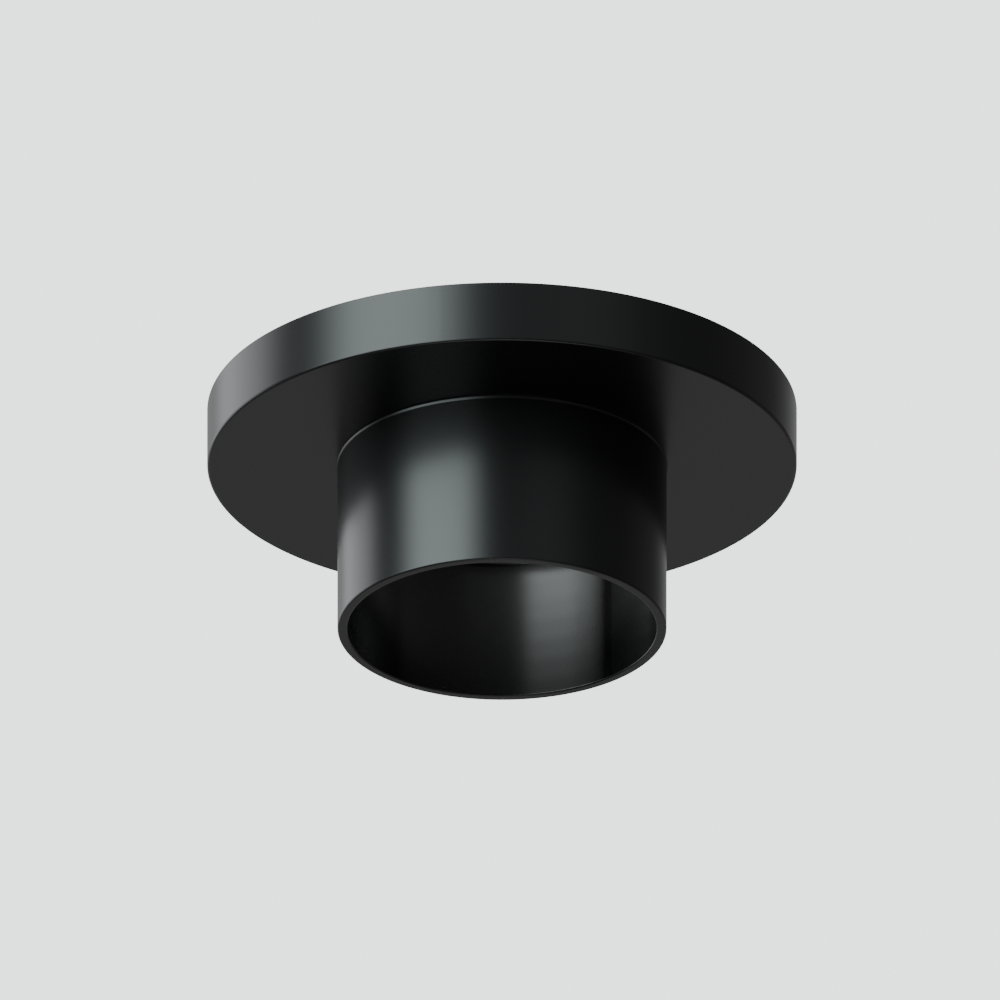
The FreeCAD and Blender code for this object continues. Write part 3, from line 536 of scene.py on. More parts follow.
def lathe(outline: np.ndarray, segments: int = 64, change: Optional[Change] = None,
          angles: Optional[np.ndarray] = None) -> Shell:
    """Surface of revolution about the Z axis.

    Each outline point (r, d) and angle t gives (r cos t, r sin t, -d), where r may first be changed by angle.

    Args:
        outline: Closed outline of (radius, depth) points, or an open one that starts and ends on the axis.
        segments: Number of angles, where none are given.
        change: Function of angle, radius and depth grids that returns the radius used.
        angles: Angles in radians.

    Returns:
        The closed surface.
    """
    if angles is None:
        angles = np.arange(segments) * TURN / segments
    turn, radius = np.meshgrid(angles, outline[:, 0])
    depth = np.repeat(outline[:, 1:2], len(angles), axis=1)
    if change:
        radius = change(turn, radius, depth)
    points = np.stack((radius * np.cos(turn), radius * np.sin(turn), -depth), axis=-1)
    return grid_shell(points, looped=outline[0, 0] > 0.0)


def disc_ring(inner: float, outer: float, top: float, end: float, bend: float, segments: int = 96) -> Shell:
    """Ring of rectangular section with rounded corners, between two radii and two depths."""
    corners = [(inner, top, bend), (outer, top, bend), (outer, end, bend), (inner, end, bend)]
    return lathe(bent(corners, 18.0), segments)


def hexagon_r(turn: np.ndarray, corner_r: float) -> np.ndarray:
    """Radius of a hexagon: its flat's distance over the cosine of the angle from the flat's middle."""
    sixth = TURN / 6
    return corner_r * math.cos(sixth / 2) / np.cos((turn % sixth) - sixth / 2)


def spot(radius: float, angle: float, depth: float, aside: float = 0.0) -> Triple:
    """The point at a radius, angle and depth, moved aside along the tangent, in millimetres."""
    turn = math.radians(angle)
    x = radius * math.cos(turn) - aside * math.sin(turn)
    y = radius * math.sin(turn) + aside * math.cos(turn)
    return x, y, -depth


def mesh_of(name: str, shells: Union[Shell, Sequence[Shell]]) -> bpy.types.Mesh:
    """One mesh of closed surfaces, in metres, with its poles and seams merged.

    Args:
        name: The mesh's name.
        shells: Its surfaces.

    Returns:
        The mesh.
    """
    shells = [shells] if isinstance(shells, Shell) else list(shells)
    starts = np.cumsum([0] + [len(shell.points) for shell in shells])
    points = np.concatenate([shell.points for shell in shells]) * MM
    faces = np.concatenate([shell.faces + start for shell, start in zip(shells, starts)])
    mesh = bpy.data.meshes.new(name)
    mesh.vertices.add(len(points))
    mesh.vertices.foreach_set("co", points.ravel().astype(np.float32))
    mesh.loops.add(faces.size)
    mesh.loops.foreach_set("vertex_index", faces.ravel().astype(np.int32))
    mesh.polygons.add(len(faces))
    mesh.polygons.foreach_set("loop_start", np.arange(0, faces.size, 4, dtype=np.int32))
    mesh.update(calc_edges=True)
    merged(mesh, POLE_GAP)
    return mesh


def placed(name: str, data: bpy.types.ID) -> bpy.types.Object:
    """A new object in the scene that shows a mesh, a light or a camera."""
    thing = bpy.data.objects.new(name, data)
    bpy.context.scene.collection.objects.link(thing)
    return thing


def merged(mesh: bpy.types.Mesh, distance: float, flat: float = 0.0) -> None:
    """Merge a mesh's close points, and join faces that meet within an angle of flat.

    Args:
        mesh: The mesh that is changed.
        distance: Distance in metres under which points merge.
        flat: Angle in degrees under which faces join. At 0 none do.
    """
    work = bmesh.new()
    work.from_mesh(mesh)
    bmesh.ops.remove_doubles(work, verts=work.verts, dist=distance)
    bmesh.ops.dissolve_degenerate(work, edges=work.edges, dist=distance)
    if flat:
        bmesh.ops.dissolve_limit(work, angle_limit=math.radians(flat), verts=work.verts, edges=work.edges)
    work.to_mesh(mesh)
    work.free()


def bored(mesh: bpy.types.Mesh, hole: Shell) -> bpy.types.Mesh:
    """The mesh with a hole cut by a closed surface.

    Args:
        mesh: The closed mesh that is cut.
        hole: The surface whose inside is taken away.

    Returns:
        The cut mesh.
    """
    body = placed("bored", mesh)
    cutter = placed("cutter", mesh_of("cutter", hole))
    cut = body.modifiers.new("holes", "BOOLEAN")
    cut.operation, cut.solver, cut.object = "DIFFERENCE", "EXACT", cutter
    made = bpy.data.meshes.new_from_object(body.evaluated_get(bpy.context.evaluated_depsgraph_get()))
    for thing in (body, cutter):
        bpy.data.objects.remove(thing)
    merged(made, CUT_GAP)
    return made


def shown(name: str, form: Union[bpy.types.Mesh, Shell, Sequence[Shell]], finish: Finish,
          nodes: Sequence[str] = (), body: str = "canopy", crease: float = 38.0, edge: float = 0.0) -> None:
    """Make one piece, dress it and seat it on its body.

    Args:
        name: The piece's name.
        form: Its mesh, or its closed surfaces.
        finish: Its finish.
        nodes: Frame nodes that it stands for.
        body: The body that it rides on.
        crease: Angle in degrees past which an edge is drawn sharp.
        edge: Width in millimetres by which sharp edges are rounded. At 0 none are.
    """
    mesh = form if isinstance(form, bpy.types.Mesh) else mesh_of(name, form)
    mesh.shade_smooth()
    mesh.set_sharp_from_angle(angle=math.radians(crease))
    mesh.materials.clear()
    mesh.materials.append(finish.material())
    piece = placed(name, mesh)
    if edge:
        bevel = piece.modifiers.new("rounded_edges", "BEVEL")
        bevel.width, bevel.segments = edge * MM, 2
        bevel.limit_method, bevel.angle_limit = "ANGLE", math.radians(crease)
    weighted = piece.modifiers.new("even_normals", "WEIGHTED_NORMAL")
    weighted.keep_sharp = True
    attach(piece, body)
    if nodes:
        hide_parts(*nodes)
    LOG.info("%s: %d faces", name, len(mesh.polygons))


def softened(name: str, node: str, finish: Finish, edge: float, body: str = "canopy") -> None:
    """A copy of a CAD node with its sharp edges rounded, as moulding, pressing or tumbling leaves them.

    Args:
        name: The piece's name.
        node: The CAD node that it copies and stands for.
        finish: Its finish.
        edge: Width of the rounding in millimetres.
        body: The body that it rides on.
    """
    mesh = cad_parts[node].data.copy()
    if "custom_normal" in mesh.attributes:
        mesh.attributes.remove(mesh.attributes["custom_normal"])
    merged(mesh, CAD_GAP, flat=CAD_FLAT)
    shown(name, mesh, finish, [node], body, CAD_CREASE, edge)


# -------- thread

@dataclass(frozen=True)
class Thread:
    """A right-hand thread, whose flank stays in its own track as it moves one pitch a turn."""

    pitch: float = 1.5
    crest_r: float = 27.0
    cut: float = 0.7
    top_d: float = 6.0
    end_d: float = 12.0
    lead_in: float = 0.5
    rows: int = 56
    swing: float = 0.85

    def crest(self, turn: np.ndarray, depth: np.ndarray) -> np.ndarray:
        """Height from 0 at the root to 1: a clipped cosine of depth / pitch + angle / turn."""
        phase = depth / self.pitch + turn / TURN
        return np.clip(0.5 + self.swing * np.cos(TURN * phase), 0.0, 1.0)

    def ends(self, depth: np.ndarray) -> np.ndarray:
        """Share that is threaded: 1 along the thread, falling to 0 at both of its ends."""
        above = np.clip((depth - self.top_d) / self.lead_in, 0.0, 1.0)
        below = np.clip((self.end_d - depth) / self.lead_in, 0.0, 1.0)
        return np.minimum(above, below)

    def outside(self, turn: np.ndarray, radius: np.ndarray, depth: np.ndarray) -> np.ndarray:
        """Radius of the spigot: its crest radius less the cut where the thread's groove runs."""
        on_thread = np.abs(radius - self.crest_r) < 1e-3
        groove = 1.0 - self.crest(turn, depth) * self.ends(depth)
        return np.where(on_thread, radius - self.cut * groove, radius)

    def inside(self, turn: np.ndarray, radius: np.ndarray, depth: np.ndarray, bore_r: float) -> np.ndarray:
        """Radius of the collar: its bore less the cut where the spigot has its groove."""
        on_thread = np.abs(radius - bore_r) < 1e-3
        ridge = (1.0 - self.crest(turn, depth)) * self.ends(depth)
        return np.where(on_thread, radius - self.cut * ridge, radius)


# -------- screws and leads

class Socket(Enum):
    """How deep the recess in a screw's head is, as a share of the head's height."""

    SMALL = 0.5
    DEEP = 0.6


def threaded(corners: Sequence[Sequence[float]], thread: Thread, recess_r: float, segments: int) -> Shell:
    """A screw turned from its outline, with a hexagon recess and a rolled thread.

    Args:
        corners: Corners of its outline, as for bent(). Those at recess_r are the recess's sides.
        thread: Its thread.
        recess_r: Radius of the recess at its corners.
        segments: Number of angles.

    Returns:
        The closed surface, upright on the axis.
    """
    start, end = (thread.crest_r, thread.top_d), (thread.crest_r, thread.end_d)

    def shape(turn: np.ndarray, radius: np.ndarray, along: np.ndarray) -> np.ndarray:
        """Radius with the recess's six sides and the thread."""
        inside = np.abs(radius - recess_r) < 1e-6
        return np.where(inside, hexagon_r(turn, recess_r), thread.outside(turn, radius, along))

    return lathe(ruled(bent(corners), start, end, thread.rows), segments, shape)


@dataclass(frozen=True)
class Screw:
    """Pan-head machine screw. Its outline runs along s, which is 0 under the head and grows to the tip."""

    radius: float
    head_r: float
    head_height: float
    pitch: float
    socket: Socket = Socket.DEEP
    recess_share: float = 0.55
    head_taper: float = 0.15
    crown_share: float = 0.25
    taper: float = 0.4
    tip_share: float = 0.6

    def shell(self, under_d: float, tip_d: float) -> Shell:
        """The screw on the fitting's axis, upside down where its tip lies above its head.

        Args:
            under_d: Depth of the head's underside.
            tip_d: Depth of the tip.

        Returns:
            The closed surface.
        """
        length = abs(tip_d - under_d)
        end = length - self.taper * self.radius
        top = -self.head_height
        recess_r = self.recess_share * self.head_r
        floor = top + self.socket.value * self.head_height
        corners = [
            (0.0, floor), (recess_r, floor), (recess_r, top),
            (self.head_r - self.head_taper, top, self.crown_share * self.head_height),
            (self.head_r, 0.0, 0.1),
            (self.radius, 0.0), (self.radius, end), (self.tip_share * self.radius, length), (0.0, length),
        ]
        thread = Thread(self.pitch, self.radius, 0.6 * self.pitch, 0.0, end, self.pitch, 48)
        screw = threaded(corners, thread, recess_r, 36)
        if tip_d < under_d:
            screw = screw.tipped(180.0)
        return screw.moved(0.0, 0.0, -under_d)


@dataclass(frozen=True)
class GrubScrew:
    """The radial lock screw: a threaded rod with a hexagon socket outside and a cone point inside."""

    radius: float = 1.5
    pitch: float = 0.5
    start_r: float = 49.5
    end_r: float = 53.59
    socket_r: float = 0.85
    socket_depth: float = 1.6
    chamfer: float = 0.25
    cone: float = 0.5
    point_r: float = 0.8

    def build(self) -> None:
        """Make the screw: its outline runs inward from the socket, and is then tipped and turned back."""
        length = self.end_r - self.start_r
        corners = [
            (0.0, self.socket_depth + 0.3), (self.socket_r, self.socket_depth), (self.socket_r, 0.0),
            (self.radius - self.chamfer, 0.0), (self.radius, self.chamfer),
            (self.radius, length - self.cone), (self.point_r, length), (0.0, length),
        ]
        thread = Thread(self.pitch, self.radius, 0.3, self.chamfer, length - self.cone, 0.2, 48)
        screw = threaded(corners, thread, self.socket_r, 48).tipped(90.0)
        screw = screw.moved(self.end_r, 0.0, -LOCK_D).turned(LOCK_ANGLE)
        shown("lock_grub_screw", screw, BLACK_STEEL, ["lock_screw"], "lock_screw")


@dataclass(frozen=True)
class Lead:
    """A round insulated lead, laid on a smooth spline through a short list of points."""

    name: str
    radius: float
    finish: Finish
    points: tuple[Triple, ...]
    crease: float = 50.0

    def build(self, nodes: Sequence[str] = ()) -> None:
        """Make the lead as a round tube on a quadratic spline whose control points are the route."""
        curve = bpy.data.curves.new(self.name, "CURVE")
        curve.dimensions = "3D"
        spline = curve.splines.new("NURBS")
        spline.points.add(len(self.points) - 1)
        route = [(x * MM, y * MM, z * MM, 1.0) for x, y, z in self.points]
        spline.points.foreach_set("co", np.array(route).ravel())
        spline.order_u = 3
        spline.use_endpoint_u = True
        spline.resolution_u = 14
        curve.bevel_depth = self.radius * MM
        curve.bevel_resolution = 5
        curve.use_fill_caps = True
        holder = bpy.data.objects.new(self.name, curve)
        mesh = bpy.data.meshes.new_from_object(holder)
        bpy.data.objects.remove(holder)
        merged(mesh, POLE_GAP)
        shown(self.name, mesh, self.finish, nodes, crease=self.crease)


SMALL_SCREW = Screw(1.25, 2.1, 1.4, 0.45)
BOARD_SCREW = Screw(1.2, 2.1, 1.4, 0.45, Socket.SMALL)
ENGINE_SCREW = Screw(1.5, 2.75, 1.95, 0.5)


# -------- mounting ring

@dataclass
class MountingRing:
    """Pressed ring on the soffit, and the rubber grommet in its dimple."""

    press_round: float = 0.22
    grommet_place_r: float = 38.5
    grommet_angle: float = 232.0
    bore_r: float = 2.7
    neck_r: float = 4.3
    flange_r: float = 5.95
    top_d: float = 0.1
    neck_top_d: float = 1.3
    neck_end_d: float = 2.8
    end_d: float = 4.0

    def grommet(self) -> Shell:
        """Grommet with soft flanges, a waist where the sheet sits, and a wiping lip in its bore."""
        corners = [
            (self.bore_r + 0.45, self.top_d, 0.25), (self.flange_r, self.top_d, 0.45),
            (self.flange_r, self.neck_top_d, 0.15), (self.neck_r, self.neck_top_d, 0.1),
            (self.neck_r, self.neck_end_d, 0.1), (self.flange_r, self.neck_end_d, 0.3),
            (self.flange_r - 0.7, self.end_d, 0.4), (self.bore_r + 0.25, self.end_d, 0.3),
            (self.bore_r + 0.25, self.end_d - 1.3, 0.15), (self.bore_r, self.end_d - 1.5, 0.1),
            (self.bore_r, self.end_d - 1.9, 0.1), (self.bore_r + 0.45, self.end_d - 2.3, 0.3),
        ]
        return lathe(bent(corners), 64).polar(self.grommet_place_r, self.grommet_angle)

    def build(self) -> None:
        """Make the ring and its grommet."""
        softened("mounting_ring_pressing", "mounting_ring", ZINC, self.press_round, "mounting")
        shown("grommet", self.grommet(), RUBBER, ["cable_grommet"], "mounting")


# -------- canopy

@dataclass
class Canopy:
    """Cast cup: wall, face, threaded collar, three bayonet lugs and the engine's three bosses."""

    thread: Thread
    radius: float = 54.0
    bore_r: float = 51.0
    rim_d: float = 0.3
    edge_bend: float = 0.5
    collar_bore_r: float = 27.05
    collar_r: float = 30.5
    collar_d: float = 6.0
    seal_inner_r: float = 51.9
    seal_outer_r: float = 53.1
    seal_d: float = 1.8
    lug_r: float = 47.5
    lug_top_d: float = 1.2
    lug_end_d: float = 3.2
    lug_angles: tuple[float, ...] = (30.0, 150.0, 270.0)
    lug_half: float = 12.0
    lug_step: float = 0.03
    boss_r: float = 3.2
    boss_d: float = 5.2
    tap_r: float = 1.55
    tap_stop: float = 0.6
    foot_sunk: float = 0.4
    draft: float = 0.2
    lock_hole_r: float = 1.55
    countersink: float = 0.3
    seal_fit: float = 0.02
    seal_swell: float = 0.16
    segments: int = 288

    def outline(self) -> np.ndarray:
        """Section of the cup, from the collar's bore round the outside."""
        small = 0.2
        corners = [
            (self.collar_bore_r, self.collar_d, small), (self.collar_r, self.collar_d, small),
            (self.collar_r, FLOOR_D, 0.8), (self.bore_r, FLOOR_D, 1.0),
            (self.bore_r, self.lug_end_d, small), (self.lug_r, self.lug_end_d, 0.35),
            (self.lug_r, self.lug_top_d, 0.35), (self.bore_r, self.lug_top_d, small),
            (self.bore_r, self.rim_d, 0.15), (self.seal_inner_r, self.rim_d, 0.1),
            (self.seal_inner_r, self.seal_d, 0.1), (self.seal_outer_r, self.seal_d, 0.1),
            (self.seal_outer_r, self.rim_d, 0.1), (self.radius, self.rim_d, 0.25),
            (self.radius, FACE_D, self.edge_bend), (self.collar_bore_r, FACE_D, 0.3),
        ]
        outline = bent(corners)
        return ruled(outline, tuple(outline[-1]), tuple(outline[0]), self.thread.rows)

    def angles(self) -> np.ndarray:
        """Even angles, with two close ones at each end of a lug so that its end stands upright."""
        ends = np.array([[lug - self.lug_half, lug + self.lug_half] for lug in self.lug_angles]).ravel()
        close = np.radians(np.concatenate((ends - self.lug_step, ends + self.lug_step)))
        even = np.arange(self.segments) * TURN / self.segments
        gap = np.abs(even[:, None] - close[None, :]).min(axis=1)
        return np.sort(np.concatenate((even[gap > 2e-3], close)))

    def shape(self, turn: np.ndarray, radius: np.ndarray, depth: np.ndarray) -> np.ndarray:
        """Radius of the cup: threaded in the collar, and pushed back to the bore between the lugs."""
        away = np.stack([np.abs((np.degrees(turn) - lug + 180.0) % 360.0 - 180.0) for lug in self.lug_angles])
        between = away.min(axis=0) > self.lug_half
        on_wall = (depth < self.lug_end_d + 1.0) & (radius > self.collar_r + 5.0)
        radius = np.where(on_wall & between, np.maximum(radius, self.bore_r), radius)
        return self.thread.inside(turn, radius, depth, self.collar_bore_r)

    def boss(self) -> Shell:
        """One tapped boss on the canopy's inner face, made on the axis, with a drafted side."""
        foot = FLOOR_D + self.foot_sunk
        tap_end = foot - self.tap_stop
        corners = [(0.0, tap_end), (self.tap_r, tap_end), (self.tap_r, self.boss_d, 0.1),
                   (self.boss_r, self.boss_d, 0.25), (self.boss_r + self.draft, foot), (0.0, foot)]
        return lathe(bent(corners), 40)

    def lock_hole(self) -> Shell:
        """The rod that bores the lock screw's hole, with a small countersink outside."""
        start, end = self.bore_r - 1.0, self.radius + 1.0
        flare_r = self.lock_hole_r + self.countersink
        corners = [(0.0, start), (self.lock_hole_r, start),
                   (self.lock_hole_r, self.radius - self.countersink),
                   (flare_r, self.radius), (flare_r, end), (0.0, end)]
        return lathe(np.array(corners), 48).tipped(-90.0).moved(0.0, 0.0, -LOCK_D).turned(LOCK_ANGLE)

    def seal(self) -> Shell:
        """The foam cord, pressed flat on the soffit so that it swells in the gap over the rim."""
        inner, outer = self.seal_inner_r + self.seal_fit, self.seal_outer_r - self.seal_fit
        foot, swell = self.seal_d - self.seal_fit, self.seal_swell
        corners = [(inner, foot, 0.15), (inner, self.rim_d, 0.05), (inner - swell, 0.0, 0.14),
                   (outer + swell, 0.0, 0.14), (outer, self.rim_d, 0.05), (outer, foot, 0.15)]
        return lathe(bent(corners), 192)

    def build(self) -> None:
        """Make the canopy, bore its lock hole and lay its seal."""
        cup = lathe(self.outline(), change=self.shape, angles=self.angles())
        casting = bored(mesh_of("canopy_casting", cup), self.lock_hole())
        shown("canopy_casting", casting, BLACK_COAT, ["canopy"])
        bosses = self.boss().spread(BOSS_PLACE_R, BOSS_ANGLES)
        shown("engine_bosses", bosses, BLACK_COAT)
        shown("soffit_seal", self.seal(), FOAM, ["ceiling_seal"])


# -------- barrel

@dataclass
class Barrel:
    """Screwed tube with its spigot, glass lip, seal groove and flared foot."""

    thread: Thread
    radius: float = 30.15
    bore_r: float = 28.25
    rim_d: float = 45.0
    rim_bend: float = 0.35
    flare: float = 0.2
    flare_height: float = 0.38
    spigot_bore_r: float = 25.2
    lip_r: float = 23.4
    lip_top_d: float = 16.4
    lip_end_d: float = 17.9
    groove_inner_r: float = 27.7
    groove_outer_r: float = 29.2
    groove_d: float = 13.3
    seal_fit: float = 0.05
    segments: int = 256

    def outline(self) -> np.ndarray:
        """Section of the barrel, from the top of its spigot round the outside."""
        thread = self.thread
        small = 0.12
        corners = [
            (self.spigot_bore_r, thread.top_d, small), (thread.crest_r, thread.top_d),
            (thread.crest_r, FACE_D), (self.groove_inner_r, FACE_D, small),
            (self.groove_inner_r, self.groove_d, small), (self.groove_outer_r, self.groove_d, small),
            (self.groove_outer_r, FACE_D, small), (self.radius + self.flare, FACE_D, 0.03),
            (self.radius, FACE_D + self.flare_height, 0.2), (self.radius, self.rim_d, self.rim_bend),
            (self.bore_r, self.rim_d, self.rim_bend), (self.bore_r, self.lip_end_d, 0.4),
            (self.lip_r, self.lip_end_d, 0.3), (self.lip_r, self.lip_top_d, 0.2),
            (self.spigot_bore_r, self.lip_top_d, 0.15),
        ]
        start, end = (thread.crest_r, thread.top_d), (thread.crest_r, FACE_D)
        return ruled(bent(corners, 10.0), start, end, thread.rows)

    def build(self) -> None:
        """Make the barrel and its seal."""
        tube = lathe(self.outline(), self.segments, self.thread.outside)
        shown("barrel_tube", tube, BLACK_COAT, ["barrel"], "barrel")
        fit = self.seal_fit
        inner, outer = self.groove_inner_r + fit, self.groove_outer_r - fit
        ring = disc_ring(inner, outer, FACE_D + fit, self.groove_d, 0.25)
        shown("shoulder_seal", ring, RUBBER, ["barrel_seal"], "barrel")


# -------- glass

@dataclass
class GlassPack:
    """The lens and the silicone ring above it."""

    radius: float = 25.0
    top_d: float = 13.4
    end_d: float = 16.4
    edge: float = 0.3
    ring_inner_r: float = 19.4
    ring_outer_r: float = 24.8
    ring_d: float = 12.4

    def build(self) -> None:
        """Make the lens with ground edges, and its ring with a soft square section."""
        land = self.radius - self.edge
        corners = [(0.0, self.top_d), (land, self.top_d, 0.1), (self.radius, self.top_d + self.edge, 0.15),
                   (self.radius, self.end_d - self.edge, 0.15), (land, self.end_d, 0.1), (0.0, self.end_d)]
        shown("lens", lathe(bent(corners), 160), GLASS, ["lens_glass"], "glass_pack")
        ring = disc_ring(self.ring_inner_r, self.ring_outer_r, self.ring_d, self.top_d, 0.2, 128)
        shown("lens_ring", ring, CLEAR_SILICONE, ["glass_gasket"], "glass_pack")


# -------- light engine

@dataclass
class LightEngine:
    """Heat plate, board with seven light sources, moulded optic, and what fixes and feeds them."""

    under_d: float = 5.2
    gasket_inner_r: float = 27.65
    gasket_outer_r: float = 29.9
    gasket_end_d: float = 6.0
    board_end_d: float = 6.1
    engine_head_top_d: float = 2.05
    engine_tip_d: float = 10.9
    board_screw_r: float = 16.2
    board_tip_d: float = 2.8
    cell_r: float = 10.8
    cell_angles: tuple[float, ...] = (80.0, 140.0, 200.0, 260.0, 320.0, 20.0)
    package_half: float = 1.725
    package_height: float = 0.7
    phosphor_half: float = 1.05
    dome_r: float = 1.3
    feed_angle: float = 110.0
    lead_r: float = 0.6
    lead_aside: float = 0.9
    lead_route: tuple[Pair, ...] = ((15.8, 6.3), (15.8, 1.1), (20.8, 1.1), (29.0, 3.3), (34.15, 3.3))
    tail_route: tuple[Pair, ...] = ((15.8, 5.9), (15.75, 6.75), (14.2, 6.55), (12.9, 6.3))
    tail_r: float = 0.24
    joint_place_r: float = 12.9
    joint_r: float = 0.85
    joint_height: float = 0.5
    corner_power: float = 12.0

    def square(self, half: float, top: float, end: float, bend: float) -> Shell:
        """A low square block on the axis, whose radius at angle t is that of a superellipse.

        The radius is half / (|cos t|^p + |sin t|^p)^(1/p), where p is corner_power.

        Args:
            half: Half of its width.
            top: Depth of its first face.
            end: Depth of its second face.
            bend: Radius of the edges round its faces.

        Returns:
            The block.
        """
        power = self.corner_power

        def shape(turn: np.ndarray, radius: np.ndarray, depth: np.ndarray) -> np.ndarray:
            """Radius times the superellipse's reach."""
            return radius / (np.abs(np.cos(turn)) ** power + np.abs(np.sin(turn)) ** power) ** (1.0 / power)

        corners = [(0.0, top), (half, top, bend), (half, end, bend), (0.0, end)]
        return lathe(bent(corners, 30.0), 64, shape)

    def dome(self, start: float) -> Shell:
        """The clear cap on one light source: half a sphere, its flat side at the depth start."""
        angles = np.linspace(math.pi / 2, 0.0, 14)
        cap = np.stack((self.dome_r * np.sin(angles), start + self.dome_r * np.cos(angles)), axis=1)
        return lathe(np.concatenate(([[0.0, start]], cap)), 48)

    def around(self, shell: Shell) -> list[Shell]:
        """The shell at the middle, and at each of the six places round it."""
        return [shell] + shell.spread(self.cell_r, self.cell_angles)

    def sources(self) -> None:
        """Seven packages: a ceramic base, a phosphor tile sunk in it, and a clear dome."""
        base_end = self.board_end_d + self.package_height
        base = self.square(self.package_half, self.board_end_d, base_end, 0.06)
        tile = self.square(self.phosphor_half, base_end - 0.05, base_end + 0.06, 0.02)
        shown("source_bases", self.around(base), CERAMIC, ["led_chips"])
        shown("source_tiles", self.around(tile), PHOSPHOR)
        shown("source_domes", self.around(self.dome(base_end)), DOME)

    def screws(self) -> None:
        """Three screws through the ears, and three that hold the board."""
        under = self.engine_head_top_d + ENGINE_SCREW.head_height
        engine = ENGINE_SCREW.shell(under, self.engine_tip_d).spread(BOSS_PLACE_R, BOSS_ANGLES)
        board = BOARD_SCREW.shell(self.board_end_d, self.board_tip_d).spread(self.board_screw_r, BOSS_ANGLES)
        shown("engine_screw_set", engine, STAINLESS, ["engine_screws"])
        shown("board_screw_set", board, STAINLESS, ["board_screws"])

    def joint(self) -> Shell:
        """A solder joint on the axis: its height falls from the middle as a power of a cosine."""
        share = np.linspace(0.0, 1.0, 10)
        height = self.joint_height * np.cos(share * math.pi / 2) ** 1.5
        fall = np.stack((self.joint_r * share, self.board_end_d + height), axis=1)
        return lathe(np.concatenate((fall, [[0.0, self.board_end_d]])), 32)

    def feed(self) -> None:
        """The two leads, their bare tails, and the solder that joins them to the board."""
        solder = []
        for side, colour, finish in ((1, "red", RED_PVC), (-1, "black", BLACK_PVC)):
            aside = side * self.lead_aside
            lead, tail = (tuple(spot(radius, self.feed_angle, depth, aside) for radius, depth in route)
                          for route in (self.lead_route, self.tail_route))
            Lead(f"led_wire_{colour}", self.lead_r, finish, lead).build([f"led_lead_{colour}"])
            Lead(f"led_tail_{colour}", self.tail_r, TINNED, tail).build()
            x, y, _ = spot(self.joint_place_r, self.feed_angle, 0.0, aside)
            solder.append(self.joint().moved(x, y))
        shown("solder_joints", solder, TINNED)

    def build(self) -> None:
        """Make the whole engine."""
        softened("heat_plate", "engine_body", ALUMINIUM, 0.16)
        gasket = disc_ring(self.gasket_inner_r, self.gasket_outer_r, self.under_d, self.gasket_end_d, 0.18)
        shown("plate_gasket", gasket, RED_SILICONE, ["engine_gasket"])
        softened("heat_pad", "thermal_pad", GAP_PAD, 0.06)
        softened("source_board", "led_board", BOARD, 0.08)
        softened("feed_gland", "lead_gland", CLEAR_SILICONE, 0.1)
        self.sources()
        self.screws()
        self.feed()
        softened("cell_optic", "optic", ACRYLIC, 0.0)


# -------- driver and wiring

@dataclass
class Driver:
    """Potted driver in its curved tray."""

    angle: float = 110.0
    pot_inner_r: float = 34.2
    pot_outer_r: float = 42.8
    pot_half: float = 39.9
    pot_top_d: float = 2.6
    pot_end_d: float = 8.0
    sag: float = 0.22
    creep: float = 0.7
    foot_screw_r: float = 41.6
    foot_screw_half: float = 47.6
    foot_d: float = 8.0
    tip_d: float = 11.1

    def potting(self) -> Shell:
        """Poured resin whose top sinks away from the walls.

        At a distance e from the nearest wall the top lies sag * (1 - exp(-e / creep)) below its edge.
        """
        turns = np.radians(self.angle + np.linspace(-self.pot_half, self.pot_half, 72))
        radii = np.linspace(self.pot_inner_r, self.pot_outer_r, 20)
        turn, radius = np.meshgrid(turns, radii, indexing="ij")
        walls = (radius - self.pot_inner_r, self.pot_outer_r - radius,
                 (turn - turns[0]) * radius, (turns[-1] - turn) * radius)
        edge = np.minimum.reduce(walls)
        top = self.pot_top_d + self.sag * (1.0 - np.exp(-edge / self.creep))
        radius = np.concatenate((radius, radius[:, ::-1]), axis=1)
        turn = np.concatenate((turn, turn[:, ::-1]), axis=1)
        depth = np.concatenate((top, np.full_like(top, self.pot_end_d)), axis=1)
        return swept(np.stack((radius * np.cos(turn), radius * np.sin(turn), -depth), axis=-1))

    def build(self) -> None:
        """Make the tray, its resin and its two screws."""
        softened("driver_tray", "driver_case", TRAY, 0.22)
        shown("driver_resin", self.potting(), RESIN, ["driver_potting"])
        screw = SMALL_SCREW.shell(self.foot_d, self.tip_d)
        ends = (self.angle - self.foot_screw_half, self.angle + self.foot_screw_half)
        screws = screw.spread(self.foot_screw_r, ends)
        shown("driver_screw_set", screws, STAINLESS, ["driver_screws"])


